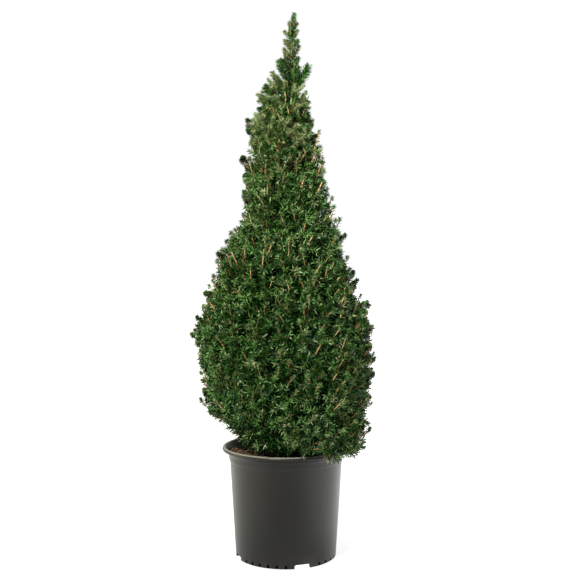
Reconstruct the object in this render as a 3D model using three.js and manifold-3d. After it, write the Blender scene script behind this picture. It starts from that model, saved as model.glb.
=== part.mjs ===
// Potted dwarf Alberta spruce: a dense, narrow conifer in a black nursery pot.
// Millimetres, +Z up. The origin is the centre of the pot's flat underside, and the front faces -Y.
import * as THREE from "three";
import { mergeVertices } from "three/addons/utils/BufferGeometryUtils.js";
import Module from "manifold-3d";

const wasm = await Module();
wasm.setup();

// ---------------------------------------------------------------- driving dimensions
const TOUCH = 0.3; // clearance between pieces that rest on or in each other

const POT = {
  height: 240,
  lipRadius: 139.7,
  bandRadius: 125.5,
  wallTopRadius: 122.5,
  baseRadius: 109.8,
  wall: 2,
  bandDrop: 31, // from the lip's top to the step under the band
  floorRaise: 5, // height of the raised floor over the foot ring
  bossRadius: 56, // flat boss in the middle, which touches the ground
  segments: 34,
};
const DRAIN = {
  count: 4,
  first: -71, // azimuth of the first drain notch in the foot ring, in degrees
  width: 36,
  height: 9, // higher than the floor's top, so that each notch opens into the pot
  depth: 9,
  corner: 3,
};
const SOIL = {
  level: 218,
  crown: 2.4, // how much higher it stands round the trunk
  rings: 2,
  bare: 8, // flat ground round the trunk's root flare
  lump: 2.2,
  lumps: 64,
};

const TRUNK = {
  tipHeight: 1006,
  baseRadius: 15,
  tipRadius: 3.2,
  flare: 0.75, // extra radius at the soil, as a share
  flareHeight: 34,
  flareRoots: 5,
  leanX: 11, // sideways travel of the axis from the soil to the leader's tip
  sides: 10,
  rings: 16,
};
const BOUGH = { share: 0.4, rootRadius: 6.4, tipRadius: 3.6, sides: 6, rings: 2, sag: 7 };

// The crown's outline: [height, radius, how far its middle lies to +X], from the skirt to the leader's tip.
const OUTLINE = [
  [236, 98, 0],
  [259, 118, 0],
  [276, 138, 0],
  [296, 163, 0],
  [345, 184, 0],
  [430, 192, -8],
  [500, 190, -10],
  [560, 168, -8],
  [610, 147, -6],
  [670, 139, -10],
  [730, 104, -3],
  [850, 90, -9],
  [915, 80, -16],
  [1010, 60, -14],
  [1060, 40, -4],
  [1105, 22, -2],
  [1180, 9, 0],
];
const LUMPS = { coarse: 0.035, fine: 0.025 }; // swellings of the outline, as shares of its radius
const SKIRT = { azimuth: -36, reach: 115, drop: 72, fadesAt: 400, fullAt: 260, hang: 28, droop: 1.1 };

// Each tier of masses: its lower surface is a wavy cone, at `base` on the axis and rising by `rise` for each
// millimetre out; `limb` says that a bough carries each mass; `climb` is how steeply its twigs rise.
const TIERS = [
  { base: 205, rise: 0.0, sectors: 6, turn: -72, twigs: 6, limb: true, climb: 0.1 },
  { base: 318, rise: 0.16, sectors: 5, turn: -50, twigs: 7, limb: true, climb: 0.34 },
  { base: 396, rise: 0.32, sectors: 5, turn: -86, twigs: 7, limb: true, climb: 0.5 },
  { base: 478, rise: 0.48, sectors: 4, turn: -60, twigs: 7, limb: true, climb: 0.66 },
  { base: 572, rise: 0.64, sectors: 4, turn: -100, twigs: 5, limb: false, climb: 0.85 },
  { base: 664, rise: 0.85, sectors: 3, turn: -75, twigs: 5, limb: false, climb: 1.05 },
  { base: 762, rise: 1.05, sectors: 3, turn: -20, twigs: 4, limb: false, climb: 1.3 },
  { base: 872, rise: 1.2, sectors: 3, turn: -80, twigs: 4, limb: false, climb: 1.6 },
  { base: 976, rise: 1.3, sectors: 0, turn: 0, twigs: 0, limb: false, climb: 2 },
];
const WAVE = { count: 3, share: 0.085 }; // of the surfaces between the tiers; the share is of the radius

// A core lies `depth` inside the outline, or `share` of its radius if that is less, and more at its corners.
const CORE = {
  depth: 24,
  share: 0.22,
  rounding: 0.7,
  lump: 0.2,
  across: 4, // rows of faces for each radian of its space's half width
  fill: 0.94, // share of its space's height
  inset: 4,
  upperInner: 0.3, // where it begins, as a share of the crown's radius, in a mass that grows on the trunk
  stem: 26, // how far its stem runs into it
  stemRadius: 3, // of the stem of a mass that grows on the trunk
};
const SPACING = 1.4; // each mass keeps this far inside its own space
const TWIG = {
  rootRadius: 2.6,
  tipRadius: 1.3,
  rootShare: 0.58, // of the tip's distance from the trunk
  forkShare: 0.2, // of the twig's reach, from the entry of the stem to where the twig forks from it
  fan: 0.7,
  deepest: 9, // of its tip inside the outline
  furthest: -9,
  lowest: 0.25, // of its root, as a share of its space's height
  highest: 0.75,
};
// Twigs' tips spread evenly over a mass's outer face: each one's place is a fixed step on from the last one's.
const FACE = { stepAcross: 0.7548776662, stepUp: 0.569840291, across: 0.88, bottom: 0.05, top: 0.95 };
// A spray is as long as `least`, and by `growth` of its twig's length more.
const SPRAY = {
  least: 36,
  growth: 0.34,
  width: 0.205, // half of it, as a share of the length
  thickness: 0.13, // half of it, as a share of the length
  sideways: 0.6,
  sideAt: [0.3, 0.5], // shares of the twig's length
  sideSize: 0.945,
  lift: 0.5, // least turn of a side spray up from level, in radians
  liftTurn: 0.8,
  liftStray: 0.4,
  heldAt: 0.4, // how far into a spray its twig runs, as a share of its length
  sizes: [1, 0.72], // a spray that would leave its space at the first is tried at the next
};
// One edge of a blade from its root to its tip, as shares of its width and of half its length.
const PLAIN = [[1, 0.3]];
const TOOTHED = [
  [1, 0.15],
  [0.55, 0.3],
];
const LEADER = {
  whorls: 6,
  firstHeight: 1018,
  lastHeight: 1138,
  sprays: 4, // in each whorl
  turn: 0.37, // of each whorl over the last, as a share of the angle between its sprays
  stray: 0.2,
  radius: 3,
  tipRadius: 1.2,
  length: 66, // of the first whorl's sprays
  shorten: 0.45, // share of that length lost by the last whorl
  lean: 0.62, // of the first whorl's sprays away from the stem, in radians
  straighten: 0.3, // radians of that lean lost by the last whorl
  tuft: 42,
};

// ---------------------------------------------------------------- materials
function finish(color, roughness) {
  return new THREE.MeshStandardMaterial({ color, roughness, metalness: 0 });
}
const plastic = finish(0x35342f, 0.42);
const compost = finish(0x2e241b, 0.95);
const bark = finish(0x6b4a30, 0.85);
const needles = finish(0x2f4a22, 0.6);

// ---------------------------------------------------------------- solids
/** A closed geometry as a solid, with its shared vertices merged. */
function solidOf(geometry) {
  const bare = new THREE.BufferGeometry();
  bare.setAttribute("position", geometry.getAttribute("position"));
  bare.setIndex(geometry.getIndex());
  const merged = mergeVertices(bare, 1e-3);
  const vertProperties = new Float32Array(merged.attributes.position.array);
  const triVerts = new Uint32Array(merged.index.array);
  return new wasm.Manifold(new wasm.Mesh({ numProp: 3, vertProperties, triVerts }));
}

/** The named mesh of a solid. */
function meshOf(name, solid, material) {
  const { numProp, vertProperties, triVerts } = solid.getMesh();
  const positions = new Float32Array((vertProperties.length / numProp) * 3);
  for (let i = 0; i < positions.length / 3; i++)
    positions.set(vertProperties.subarray(i * numProp, i * numProp + 3), i * 3);
  const geometry = new THREE.BufferGeometry();
  geometry.setAttribute("position", new THREE.BufferAttribute(positions, 3));
  geometry.setIndex(new THREE.BufferAttribute(new Uint32Array(triVerts), 1));
  geometry.computeVertexNormals();
  const mesh = new THREE.Mesh(geometry, material);
  mesh.name = name;
  return mesh;
}

/** The largest body of a solid, without the hollows that fusing sealed and the scraps that came loose. */
function largestBody(solid) {
  return solid.decompose().sort((a, b) => b.volume() - a.volume())[0];
}

/** Moves every vertex of a geometry by a rule. */
function reshape(geometry, rule) {
  const at = geometry.getAttribute("position");
  const point = new THREE.Vector3();
  for (let i = 0; i < at.count; i++) {
    rule(point.fromBufferAttribute(at, i), i);
    at.setXYZ(i, point.x, point.y, point.z);
  }
  return geometry;
}

/** A profile of [radius, height] pairs turned about the Z axis. */
function turned(profile, segments) {
  const points = profile.map(([radius, height]) => new THREE.Vector2(radius, height));
  return new THREE.LatheGeometry(points, segments).rotateX(Math.PI / 2);
}

/** Puts a geometry that stands along +Y, centred on the origin, with its axis from one point to another. */
function between(geometry, from, to, roll = 0) {
  const along = to.clone().sub(from).normalize();
  const turn = new THREE.Quaternion().setFromUnitVectors(new THREE.Vector3(0, 1, 0), along);
  const middle = from.clone().add(to).multiplyScalar(0.5);
  geometry.rotateY(roll);
  return geometry.applyQuaternion(turn).translate(middle.x, middle.y, middle.z);
}

// ---------------------------------------------------------------- seeded chance
/** A stream of numbers from 0 to 1 that is the same on every run. */
function chance(seed) {
  let state = 7919 * seed + 11;
  const next = () => {
    state = (state * 48271) % 2147483647;
    return state / 2147483647;
  };
  next();
  return next;
}
const signed = (random) => 2 * random() - 1;
const varied = (random) => 1 + 0.15 * signed(random);

// ---------------------------------------------------------------- the crown's outline
const radians = THREE.MathUtils.degToRad;
const clamp = THREE.MathUtils.clamp;
const crownTop = OUTLINE[OUTLINE.length - 1][0];

/** Where the trunk's axis is at a height. */
function axisAt(height) {
  const share = (height - SOIL.level) / (crownTop - SOIL.level);
  return new THREE.Vector3(TRUNK.leanX * share, 0, height);
}

/** The outline's radius at a height, and how far its middle lies to +X, before its lobe and lumps. */
function outlineAt(height) {
  const above = OUTLINE.findIndex(([top]) => height < top);
  if (above === 0) return OUTLINE[0].slice(1);
  if (above < 0) return OUTLINE[OUTLINE.length - 1].slice(1);
  const [low, ...from] = OUTLINE[above - 1];
  const [high, ...to] = OUTLINE[above];
  return from.map((value, i) => value + ((to[i] - value) * (height - low)) / (high - low));
}

/** From 0 to 1, how much of the skirt's lobe there is at an azimuth in radians. */
function lobe(azimuth) {
  const turn = azimuth - radians(SKIRT.azimuth);
  const away = Math.atan2(Math.sin(turn), Math.cos(turn)) / radians(SKIRT.reach);
  return Math.cos(clamp(away, -1, 1) * (Math.PI / 2)) ** 2;
}

/** From 0 to 1, how far the skirt's lobe has faded in at a height. */
function skirtAt(height) {
  return clamp((SKIRT.fadesAt - height) / (SKIRT.fadesAt - SKIRT.fullAt), 0, 1);
}

/** The crown's radius from the axis, with the skirt's lobe and some lumps. */
function crownRadius(height, azimuth) {
  const [radius, aside] = outlineAt(height + SKIRT.drop * lobe(azimuth) * skirtAt(height));
  const coarse = LUMPS.coarse * Math.sin(3 * azimuth + height / 55);
  const fine = LUMPS.fine * Math.sin(5 * azimuth - height / 31);
  return radius * (1 + coarse + fine) + aside * Math.cos(azimuth);
}

/** The lowest that foliage may hang at a radius: over the soil, over the lip, or outside it. */
function lowestAt(radius, azimuth, hang = SKIRT.hang) {
  if (radius < POT.bandRadius - 12) return SOIL.level + 12;
  if (radius < POT.lipRadius + 6) return POT.height + 5;
  return POT.height + 5 - hang * lobe(azimuth);
}

// ---------------------------------------------------------------- the masses' own spaces
/** Every mass's space: a sector of one tier, between two cones round the axis. */
function spaces() {
  const found = [];
  for (let tier = 0; tier < TIERS.length - 1; tier++) {
    const { sectors, turn, twigs, limb, climb } = TIERS[tier];
    for (let sector = 0; sector < sectors; sector++)
      found.push({
        name: `foliage_tier${tier + 1}_${sector + 1}`,
        seed: 10 * (tier + 1) + sector,
        azimuth: radians(turn + (360 * sector) / sectors),
        half: Math.PI / sectors,
        under: TIERS[tier],
        over: TIERS[tier + 1],
        twigs,
        limb,
        climb,
      });
  }
  return found;
}

/** The height of a tier's lower surface at a radius and an azimuth. */
function seam(tier, radius, azimuth) {
  return tier.base + radius * (tier.rise + WAVE.share * Math.sin(WAVE.count * azimuth + tier.base));
}

/** The point of a space at an azimuth offset, a radius and a share of the height between its surfaces. */
function placeIn(space, offset, radius, share) {
  const azimuth = space.azimuth + offset;
  const low = seam(space.under, radius, azimuth);
  const height = low + (seam(space.over, radius, azimuth) - low) * share;
  const axis = axisAt(height);
  return new THREE.Vector3(axis.x + radius * Math.cos(azimuth), axis.y + radius * Math.sin(azimuth), height);
}

/** Whether a point lies in a space, clear of its walls, of the pot and of the soil. */
function holds(space, point) {
  const axis = axisAt(point.z);
  const radius = Math.hypot(point.x - axis.x, point.y - axis.y);
  const azimuth = Math.atan2(point.y - axis.y, point.x - axis.x);
  const turn = azimuth - space.azimuth;
  const aside = space.half - Math.abs(Math.atan2(Math.sin(turn), Math.cos(turn)));
  const low = Math.max(seam(space.under, radius, azimuth) + SPACING, lowestAt(radius, azimuth));
  const high = seam(space.over, radius, azimuth) - SPACING;
  return aside > 0 && radius * Math.sin(aside) > SPACING && point.z > low && point.z < high;
}

/** Whether a whole geometry, and the straight line through it, lies in a space. */
function fits(space, geometry, from, to) {
  const at = geometry.getAttribute("position");
  const point = new THREE.Vector3();
  for (let i = 0; i < at.count; i++)
    if (!holds(space, point.fromBufferAttribute(at, i))) return false;
  const shares = Array.from({ length: 7 }, (_, i) => (i + 1) / 8);
  return shares.every((share) => holds(space, point.lerpVectors(from, to, share)));
}

/** The point of a space at an azimuth offset, a share of its height and a depth inside the outline. */
function surfaceIn(space, offset, share, depth) {
  let place = placeIn(space, offset, outlineAt(space.over.base)[0], share);
  for (let step = 0; step < 6; step++)
    place = placeIn(space, offset, crownRadius(place.z, space.azimuth + offset) - depth, share);
  return place;
}

/** The horizontal distance of a point from the trunk's axis. */
function fromAxis(point) {
  const axis = axisAt(point.z);
  return Math.hypot(point.x - axis.x, point.y - axis.y);
}

/** The radius at which a bough, or the bare part of a stem, ends and its mass begins. */
function entryRadius(space) {
  const inner = space.limb ? BOUGH.share : CORE.upperInner;
  const height = placeIn(space, 0, 60, 0.5).z;
  return inner * crownRadius(height, space.azimuth);
}

/** The trunk's radius at a height, with as much of its root flare as `roots` says. */
function trunkRadius(height, roots = 1) {
  const share = clamp((height - SOIL.level) / (TRUNK.tipHeight - SOIL.level), 0, 1);
  const near = clamp(1 - (height - SOIL.level) / TRUNK.flareHeight, 0, 1);
  const bole = TRUNK.baseRadius + (TRUNK.tipRadius - TRUNK.baseRadius) * share ** 0.85;
  return bole * (1 + TRUNK.flare * near * near * roots);
}

/** Where a space's limb or stem meets the trunk; its lower side is `below` under its axis there. */
function onTrunk(space, below) {
  const { z } = placeIn(space, 0, 1, 0.5);
  return placeIn(space, 0, trunkRadius(z - below) + TOUCH, 0.5);
}

// ---------------------------------------------------------------- pieces of foliage
/** A spray of needles from its root to its tip: a slim blade, pointed at both ends, with toothed edges. */
function spray(root, tip, roll, teeth) {
  const half = root.distanceTo(tip) / 2;
  const width = 2 * half * SPRAY.width;
  const thickness = 2 * half * SPRAY.thickness;
  const edge = [[0, -1], ...(teeth ? TOOTHED : PLAIN), [0, 1]];
  const outline = [...edge, ...edge.slice(1, -1).map(([x, y]) => [-x, y]).reverse()];
  const points = outline.map(([x, y]) => [x * width, y * half, 0]);
  points.push([0, 0, thickness], [0, 0, -thickness]);
  const [over, under] = [outline.length, outline.length + 1];
  const faces = outline.flatMap((_, i) => [i, (i + 1) % over, over, (i + 1) % over, i, under]);
  const blade = new THREE.BufferGeometry();
  blade.setAttribute("position", new THREE.Float32BufferAttribute(points.flat(), 3)).setIndex(faces);
  return between(blade, root, tip, roll);
}

/** A three-sided twig that tapers from its root to its tip. */
function twig(root, tip, rootRadius, tipRadius, roll) {
  const stick = new THREE.CylinderGeometry(tipRadius, rootRadius, root.distanceTo(tip), 3);
  return between(stick, root, tip, roll);
}

/** Makes the end of a limb upright, square to the way out from the trunk. */
function squareOff(limb, end, along) {
  const outward = new THREE.Vector3(along.x, along.y, 0).normalize();
  return reshape(limb, (point) => {
    const out = point.clone().sub(end);
    if (Math.abs(out.dot(along)) > 0.01) return;
    point.addScaledVector(along, -out.dot(outward) / along.dot(outward));
  });
}

/** A mass's core: a rounded block that fills the inner part of its space. */
function core(space, random) {
  const block = new THREE.BoxGeometry(2, 2, 2, 1, Math.ceil(CORE.across * space.half), 2);
  const bare = new THREE.BufferGeometry().setAttribute("position", block.getAttribute("position"));
  const inner = entryRadius(space) + CORE.inset;
  return reshape(mergeVertices(bare.setIndex(block.getIndex())), (point) => {
    const { x: outward, y: across, z: upward } = point;
    const share = 0.5 + CORE.fill * 0.5 * upward;
    const deeper = 1 + CORE.lump * signed(random) + CORE.rounding * 0.5 * (across ** 4 + upward ** 4);
    const depth = deeper * Math.min(CORE.depth, CORE.share * outlineAt(space.over.base)[0]);
    const outerRadius = fromAxis(surfaceIn(space, across * space.half, share, depth));
    const offset = across * (space.half - Math.asin(Math.min(1, (2 * SPACING) / outerRadius)));
    const flatInside = inner / Math.cos(offset);
    const radius = outward < 0 ? flatInside : Math.max(flatInside + CORE.inset, outerRadius);
    point.copy(placeIn(space, offset, radius, share));
    point.z = Math.max(point.z, lowestAt(radius, space.azimuth + offset, 0) + SPACING);
  });
}

/** The fork, root and tip of every twig of a space, spread evenly over the face that it shows. */
function twigsOf(space) {
  const random = chance(space.seed);
  const start = [random(), random()];
  return Array.from({ length: space.twigs }, (_, i) => {
    const across = 2 * ((start[0] + FACE.stepAcross * (i + 1)) % 1) - 1;
    const upward = (start[1] + FACE.stepUp * (i + 1)) % 1;
    const depth = TWIG.furthest + (TWIG.deepest - TWIG.furthest) * random();
    const offset = across * space.half * FACE.across;
    const tip = surfaceIn(space, offset, FACE.bottom + (FACE.top - FACE.bottom) * upward, depth);
    const reach = fromAxis(tip) * (1 - TWIG.rootShare);
    const rootRadius = fromAxis(tip) - reach;
    const root = placeIn(space, offset * TWIG.fan, rootRadius, 0.5);
    const droop = SKIRT.droop * lobe(space.azimuth + offset) * skirtAt(tip.z);
    const lowest = placeIn(space, 0, rootRadius, TWIG.lowest).z;
    const highest = placeIn(space, 0, rootRadius, TWIG.highest).z;
    root.z = clamp(tip.z - reach * (space.climb - droop), lowest, highest);
    const fork = placeIn(space, 0, entryRadius(space) + CORE.inset + TWIG.forkShare * reach, 0.5);
    return { fork, root, tip, roll: random() * Math.PI, turn: random() };
  });
}

/** The sprays of one twig: one along its end, and one or two that branch off at its sides. */
function spraysOf({ root, tip, roll, turn }, sides, random) {
  const along = tip.clone().sub(root).normalize();
  const side = new THREE.Vector3(0, 0, 1).cross(along).normalize();
  const up = along.clone().cross(side);
  const length = SPRAY.least + SPRAY.growth * root.distanceTo(tip);
  const found = [{ from: tip.clone().addScaledVector(along, -length), to: tip, roll }];
  SPRAY.sideAt.slice(0, sides).forEach((share, i) => {
    const lift = SPRAY.lift + SPRAY.liftTurn * turn + SPRAY.liftStray * signed(random);
    const heading = along.clone().multiplyScalar(1 - SPRAY.sideways / 2);
    heading.addScaledVector(side, SPRAY.sideways * Math.cos(lift) * (i === 0 ? 1 : -1));
    heading.addScaledVector(up, SPRAY.sideways * Math.sin(lift)).normalize();
    const from = root.clone().lerp(tip, share);
    const to = from.clone().addScaledVector(heading, length * SPRAY.sideSize * varied(random));
    found.push({ from, to, roll: roll + signed(random) });
  });
  return found;
}

/** One mass of foliage: a core with a stem, and twigs that carry sprays of needles, all fused. */
function foliage(space) {
  const random = chance(space.seed + 500);
  const entry = entryRadius(space);
  const stemRoot = space.limb ? placeIn(space, 0, entry + TOUCH, 0.5) : onTrunk(space, 0);
  const stemTip = placeIn(space, 0, entry + CORE.stem, 0.5);
  const stemRadius = space.limb ? BOUGH.tipRadius : CORE.stemRadius;
  let mass = solidOf(core(space, random));
  const stem = twig(stemRoot, stemTip, stemRadius, stemRadius, 0);
  mass = mass.add(solidOf(squareOff(stem, stemRoot, stemTip.clone().sub(stemRoot).normalize())));
  for (const [i, one] of twigsOf(space).entries()) {
    const [end, ...sides] = spraysOf(one, 1 + (i % 2), random);
    const inEnd = end.from.clone().lerp(end.to, SPRAY.heldAt);
    const stick = twig(one.root, inEnd, TWIG.rootRadius, TWIG.tipRadius, one.roll);
    const forking = twig(one.fork, one.root, TWIG.rootRadius, TWIG.rootRadius, 0);
    if (!fits(space, stick, one.root, inEnd)) continue;
    mass = mass.add(solidOf(stick));
    if (fits(space, forking, one.fork, one.root)) mass = mass.add(solidOf(forking));
    for (const { from, to, roll } of [end, ...sides]) {
      const tips = SPRAY.sizes.map((size) => from.clone().lerp(to, size));
      const tip = tips.find((at) => fits(space, spray(from, at, roll, to === end.to), from, at));
      if (tip) mass = mass.add(solidOf(spray(from, tip, roll, to === end.to)));
    }
  }
  return meshOf(space.name, largestBody(mass), needles);
}

// ---------------------------------------------------------------- pot and soil
/** What a drain notch takes out of the pot's lower edge at azimuth 0. */
function drainNotch() {
  const { width, height, depth, corner } = DRAIN;
  const side = [
    [width / 2, -2],
    [width / 2, height - corner],
    [width / 2 - corner, height],
  ];
  const outline = [...side, ...side.map(([x, y]) => [-x, y]).reverse()];
  const shape = new THREE.Shape(outline.map(([x, y]) => new THREE.Vector2(x, y)));
  const block = new THREE.ExtrudeGeometry(shape, { depth: depth + 6, bevelEnabled: false });
  return block.rotateX(Math.PI / 2).rotateZ(Math.PI / 2).translate(POT.baseRadius - depth, 0, 0);
}

function pot() {
  const { height, lipRadius, bandRadius, wallTopRadius, baseRadius, wall, floorRaise, bossRadius } = POT;
  const step = height - POT.bandDrop;
  const shell = turned(
    [
      [0, 0],
      [bossRadius, 0],
      [bossRadius + 3, floorRaise],
      [baseRadius - 7, floorRaise],
      [baseRadius - 5, 0],
      [baseRadius - 1.5, 0],
      [baseRadius, 3],
      [wallTopRadius, step],
      [bandRadius - 1, step + 2],
      [bandRadius, height - 19],
      [bandRadius + 7, height - 9],
      [lipRadius - 1, height - 7],
      [lipRadius, height - 4],
      [lipRadius - 1.5, height - 0.6],
      [lipRadius - 4, height],
      [bandRadius + 3, height - 6],
      [bandRadius - wall, height - 15],
      [bandRadius - wall - 0.7, step + 3],
      [baseRadius - wall + 0.4, floorRaise + 6],
      [baseRadius - wall - 2.5, floorRaise + wall],
      [bossRadius + 3 - wall, floorRaise + wall],
      [bossRadius - wall, wall],
      [0, wall],
    ],
    POT.segments,
  );
  let body = solidOf(shell);
  for (let i = 0; i < DRAIN.count; i++) {
    const azimuth = radians(DRAIN.first + (360 * i) / DRAIN.count);
    body = body.subtract(solidOf(drainNotch().rotateZ(azimuth)));
  }
  return meshOf("pot", body, plastic);
}

function soil() {
  const { bandRadius, baseRadius, wall, floorRaise, bossRadius } = POT;
  const { level, crown, rings, bare, lump } = SOIL;
  const rim = bandRadius - wall - 0.7 - 1;
  const inner = TRUNK.baseRadius * (1 + TRUNK.flare) + bare;
  const top = Array.from({ length: rings }, (_, i) => {
    const share = (i + 1) / (rings + 1);
    return [rim + (inner - rim) * share, level + crown * Math.sin((share * Math.PI) / 2)];
  });
  const fill = turned(
    [
      [0, wall + TOUCH],
      [bossRadius - wall - TOUCH, wall + TOUCH],
      [bossRadius + 3 - wall - TOUCH, floorRaise + wall + TOUCH],
      [baseRadius - wall - 2.5 - TOUCH, floorRaise + wall + TOUCH],
      [baseRadius - wall + 0.4 - TOUCH, floorRaise + 6],
      [rim, level - 2],
      ...top,
      [inner, level],
      [0, level],
    ],
    POT.segments,
  );
  const random = chance(3);
  const lumps = Array.from({ length: SOIL.lumps }, () => signed(random));
  reshape(fill, (point) => {
    const radius = Math.hypot(point.x, point.y);
    if (point.z < level || radius < inner + 2) return;
    const share = (Math.atan2(point.y, point.x) / (2 * Math.PI) + 1) % 1;
    const turn = Math.round(share * POT.segments) % POT.segments;
    point.z += lump * lumps[(turn * 5 + Math.round(radius)) % lumps.length];
  });
  return meshOf("soil", solidOf(fill), compost);
}

// ---------------------------------------------------------------- trunk and boughs
function trunk() {
  const foot = SOIL.level + TOUCH;
  const length = TRUNK.tipHeight - foot;
  const stock = new THREE.CylinderGeometry(1, 1, length, TRUNK.sides, TRUNK.rings).rotateX(Math.PI / 2);
  reshape(stock, (point) => {
    const share = clamp(point.z / length + 0.5, 0, 1);
    const height = foot + length * share ** 1.6; // the rings crowd towards the foot
    const roots = 0.72 + 0.28 * Math.cos(TRUNK.flareRoots * Math.atan2(point.y, point.x));
    const radius = trunkRadius(height, roots);
    const axis = axisAt(height);
    point.set(axis.x + radius * point.x, axis.y + radius * point.y, height);
  });
  return meshOf("trunk", solidOf(stock), bark);
}

/** One tapering bough, from the trunk's side to where its mass begins. */
function bough(space) {
  const end = placeIn(space, 0, entryRadius(space), 0.5);
  const start = onTrunk(space, BOUGH.sag + BOUGH.rootRadius);
  start.z -= BOUGH.sag;
  const length = start.distanceTo(end);
  const { tipRadius, rootRadius, sides, rings } = BOUGH;
  const limb = between(new THREE.CylinderGeometry(tipRadius, rootRadius, length, sides, rings), start, end);
  const along = end.clone().sub(start).normalize();
  squareOff(limb, start, along);
  squareOff(limb, end, along);
  reshape(limb, (point) => {
    const share = clamp(point.clone().sub(start).dot(along) / length, 0, 1);
    point.z -= BOUGH.sag * 0.8 * Math.sin(share * Math.PI);
  });
  return meshOf(space.name.replace("foliage", "bough"), solidOf(limb), bark);
}

// ---------------------------------------------------------------- leader
/** The shoot at the very top: a slim stem with whorls of short sprays. */
function leader() {
  const random = chance(90);
  const foot = axisAt(TRUNK.tipHeight + TOUCH);
  const top = axisAt(crownTop);
  let shoot = solidOf(twig(foot, top, LEADER.radius, LEADER.tipRadius, 0.3));
  const tuft = spray(axisAt(crownTop - LEADER.tuft), top, 0.4, false);
  shoot = shoot.add(solidOf(tuft));
  for (let whorl = 0; whorl < LEADER.whorls; whorl++) {
    const share = whorl / (LEADER.whorls - 1);
    const height = LEADER.firstHeight + (LEADER.lastHeight - LEADER.firstHeight) * share;
    for (let i = 0; i < LEADER.sprays; i++) {
      const turn = i + LEADER.turn * whorl + LEADER.stray * random();
      const azimuth = (2 * Math.PI * turn) / LEADER.sprays;
      const length = LEADER.length * (1 - LEADER.shorten * share) * varied(random);
      const lean = (LEADER.lean - LEADER.straighten * share) * varied(random);
      const out = new THREE.Vector3(Math.cos(azimuth), Math.sin(azimuth), 0);
      const from = axisAt(height).addScaledVector(out, LEADER.radius * 0.3);
      const to = from.clone().addScaledVector(out, length * Math.sin(lean));
      to.z += length * Math.cos(lean);
      shoot = shoot.add(solidOf(spray(from, to, azimuth, false)));
    }
  }
  return meshOf("foliage_leader", largestBody(shoot), needles);
}

// ---------------------------------------------------------------- assembly
const plant = new THREE.Group();
plant.name = "potted_alberta_spruce";
plant.add(pot(), soil(), trunk(), leader());
for (const space of spaces()) {
  if (space.limb) plant.add(bough(space));
  plant.add(foliage(space));
}

export default plant;
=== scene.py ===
"""Looks of a potted dwarf Alberta spruce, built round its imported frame.

The scene is in metres, +Z up, with the front facing -Y. The crown's rule is worked out in millimetres, as its
solids are, and turned to metres where meshes are made.
"""

import logging
import math
from collections.abc import Callable, Iterator, Sequence
from dataclasses import dataclass, field
from enum import Enum
from typing import Any

import bpy
import numpy as np
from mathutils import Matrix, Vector


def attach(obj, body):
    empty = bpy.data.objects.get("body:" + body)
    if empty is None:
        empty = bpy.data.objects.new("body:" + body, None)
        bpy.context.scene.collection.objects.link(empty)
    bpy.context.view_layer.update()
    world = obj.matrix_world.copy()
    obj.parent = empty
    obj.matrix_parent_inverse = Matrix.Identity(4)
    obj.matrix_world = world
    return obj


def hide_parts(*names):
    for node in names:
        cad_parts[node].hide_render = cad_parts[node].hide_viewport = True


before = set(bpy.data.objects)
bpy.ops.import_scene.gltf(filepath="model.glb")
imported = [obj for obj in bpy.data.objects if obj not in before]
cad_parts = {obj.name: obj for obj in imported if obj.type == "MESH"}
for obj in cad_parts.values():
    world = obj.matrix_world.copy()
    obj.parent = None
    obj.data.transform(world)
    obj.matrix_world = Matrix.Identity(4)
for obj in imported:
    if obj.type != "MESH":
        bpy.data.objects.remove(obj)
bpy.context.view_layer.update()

MM = 0.001
GOLDEN_ANGLE = math.pi * (3 - math.sqrt(5))
Colour = tuple[float, float, float]
Stops = Sequence[tuple[float, Colour]]
Piece = bpy.types.Object
Material = bpy.types.Material
Spread = tuple[float, float]
"""The least of a size, and how much more of it chance may add."""
log = logging.getLogger("spruce")


# ---- arithmetic
def clamp(value: float, low: float = 0.0, high: float = 1.0) -> float:
    """A value that is held between two ends."""
    return max(low, min(high, value))


def risen(value: float, start: float, over: float) -> float:
    """From 0 to 1, how far a value has risen past a start, over a stretch."""
    return clamp((value - start) / over)


def fallen(value: float, end: float, over: float) -> float:
    """From 0 to 1, how far a value lies under an end, over a stretch."""
    return clamp((end - value) / over)


def up(height: float) -> Vector:
    """A way straight up."""
    return Vector((0, 0, height))


def level_way(azimuth: float) -> Vector:
    """The level direction at an azimuth."""
    return Vector((math.cos(azimuth), math.sin(azimuth), 0))


def unit_rows(vectors: np.ndarray) -> np.ndarray:
    """Rows of vectors at unit length."""
    return vectors / np.maximum(np.linalg.norm(vectors, axis=1, keepdims=True), 1e-9)


def square_ways(along: np.ndarray) -> tuple[np.ndarray, np.ndarray]:
    """For every row of directions two more that are square to it."""
    across = unit_rows(np.cross(along, np.array((0.31, 0.17, 0.94))))
    return across, np.cross(along, across)


# ---- shader tools
@dataclass(frozen=True)
class Signal:
    """A value or colour inside a shader, on which Python's own operators work."""

    shader: "Shader"
    socket: bpy.types.NodeSocket

    def _maths(self, operation: str, left: "Signal | float", right: "Signal | float") -> "Signal":
        """Adds a Math node that works on two values."""
        return self.shader.make("ShaderNodeMath", {"operation": operation}, {0: left, 1: right})

    def __add__(self, other: "Signal | float") -> "Signal":
        """The sum."""
        return self._maths("ADD", self, other)

    def __radd__(self, other: float) -> "Signal":
        """The sum with a number on the left."""
        return self._maths("ADD", other, self)

    def __sub__(self, other: "Signal | float") -> "Signal":
        """The difference."""
        return self._maths("SUBTRACT", self, other)

    def __rsub__(self, other: float) -> "Signal":
        """The difference from a number on the left."""
        return self._maths("SUBTRACT", other, self)

    def __mul__(self, other: "Signal | float") -> "Signal":
        """The product."""
        return self._maths("MULTIPLY", self, other)

    def __rmul__(self, other: float) -> "Signal":
        """The product with a number on the left."""
        return self._maths("MULTIPLY", other, self)


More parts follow.
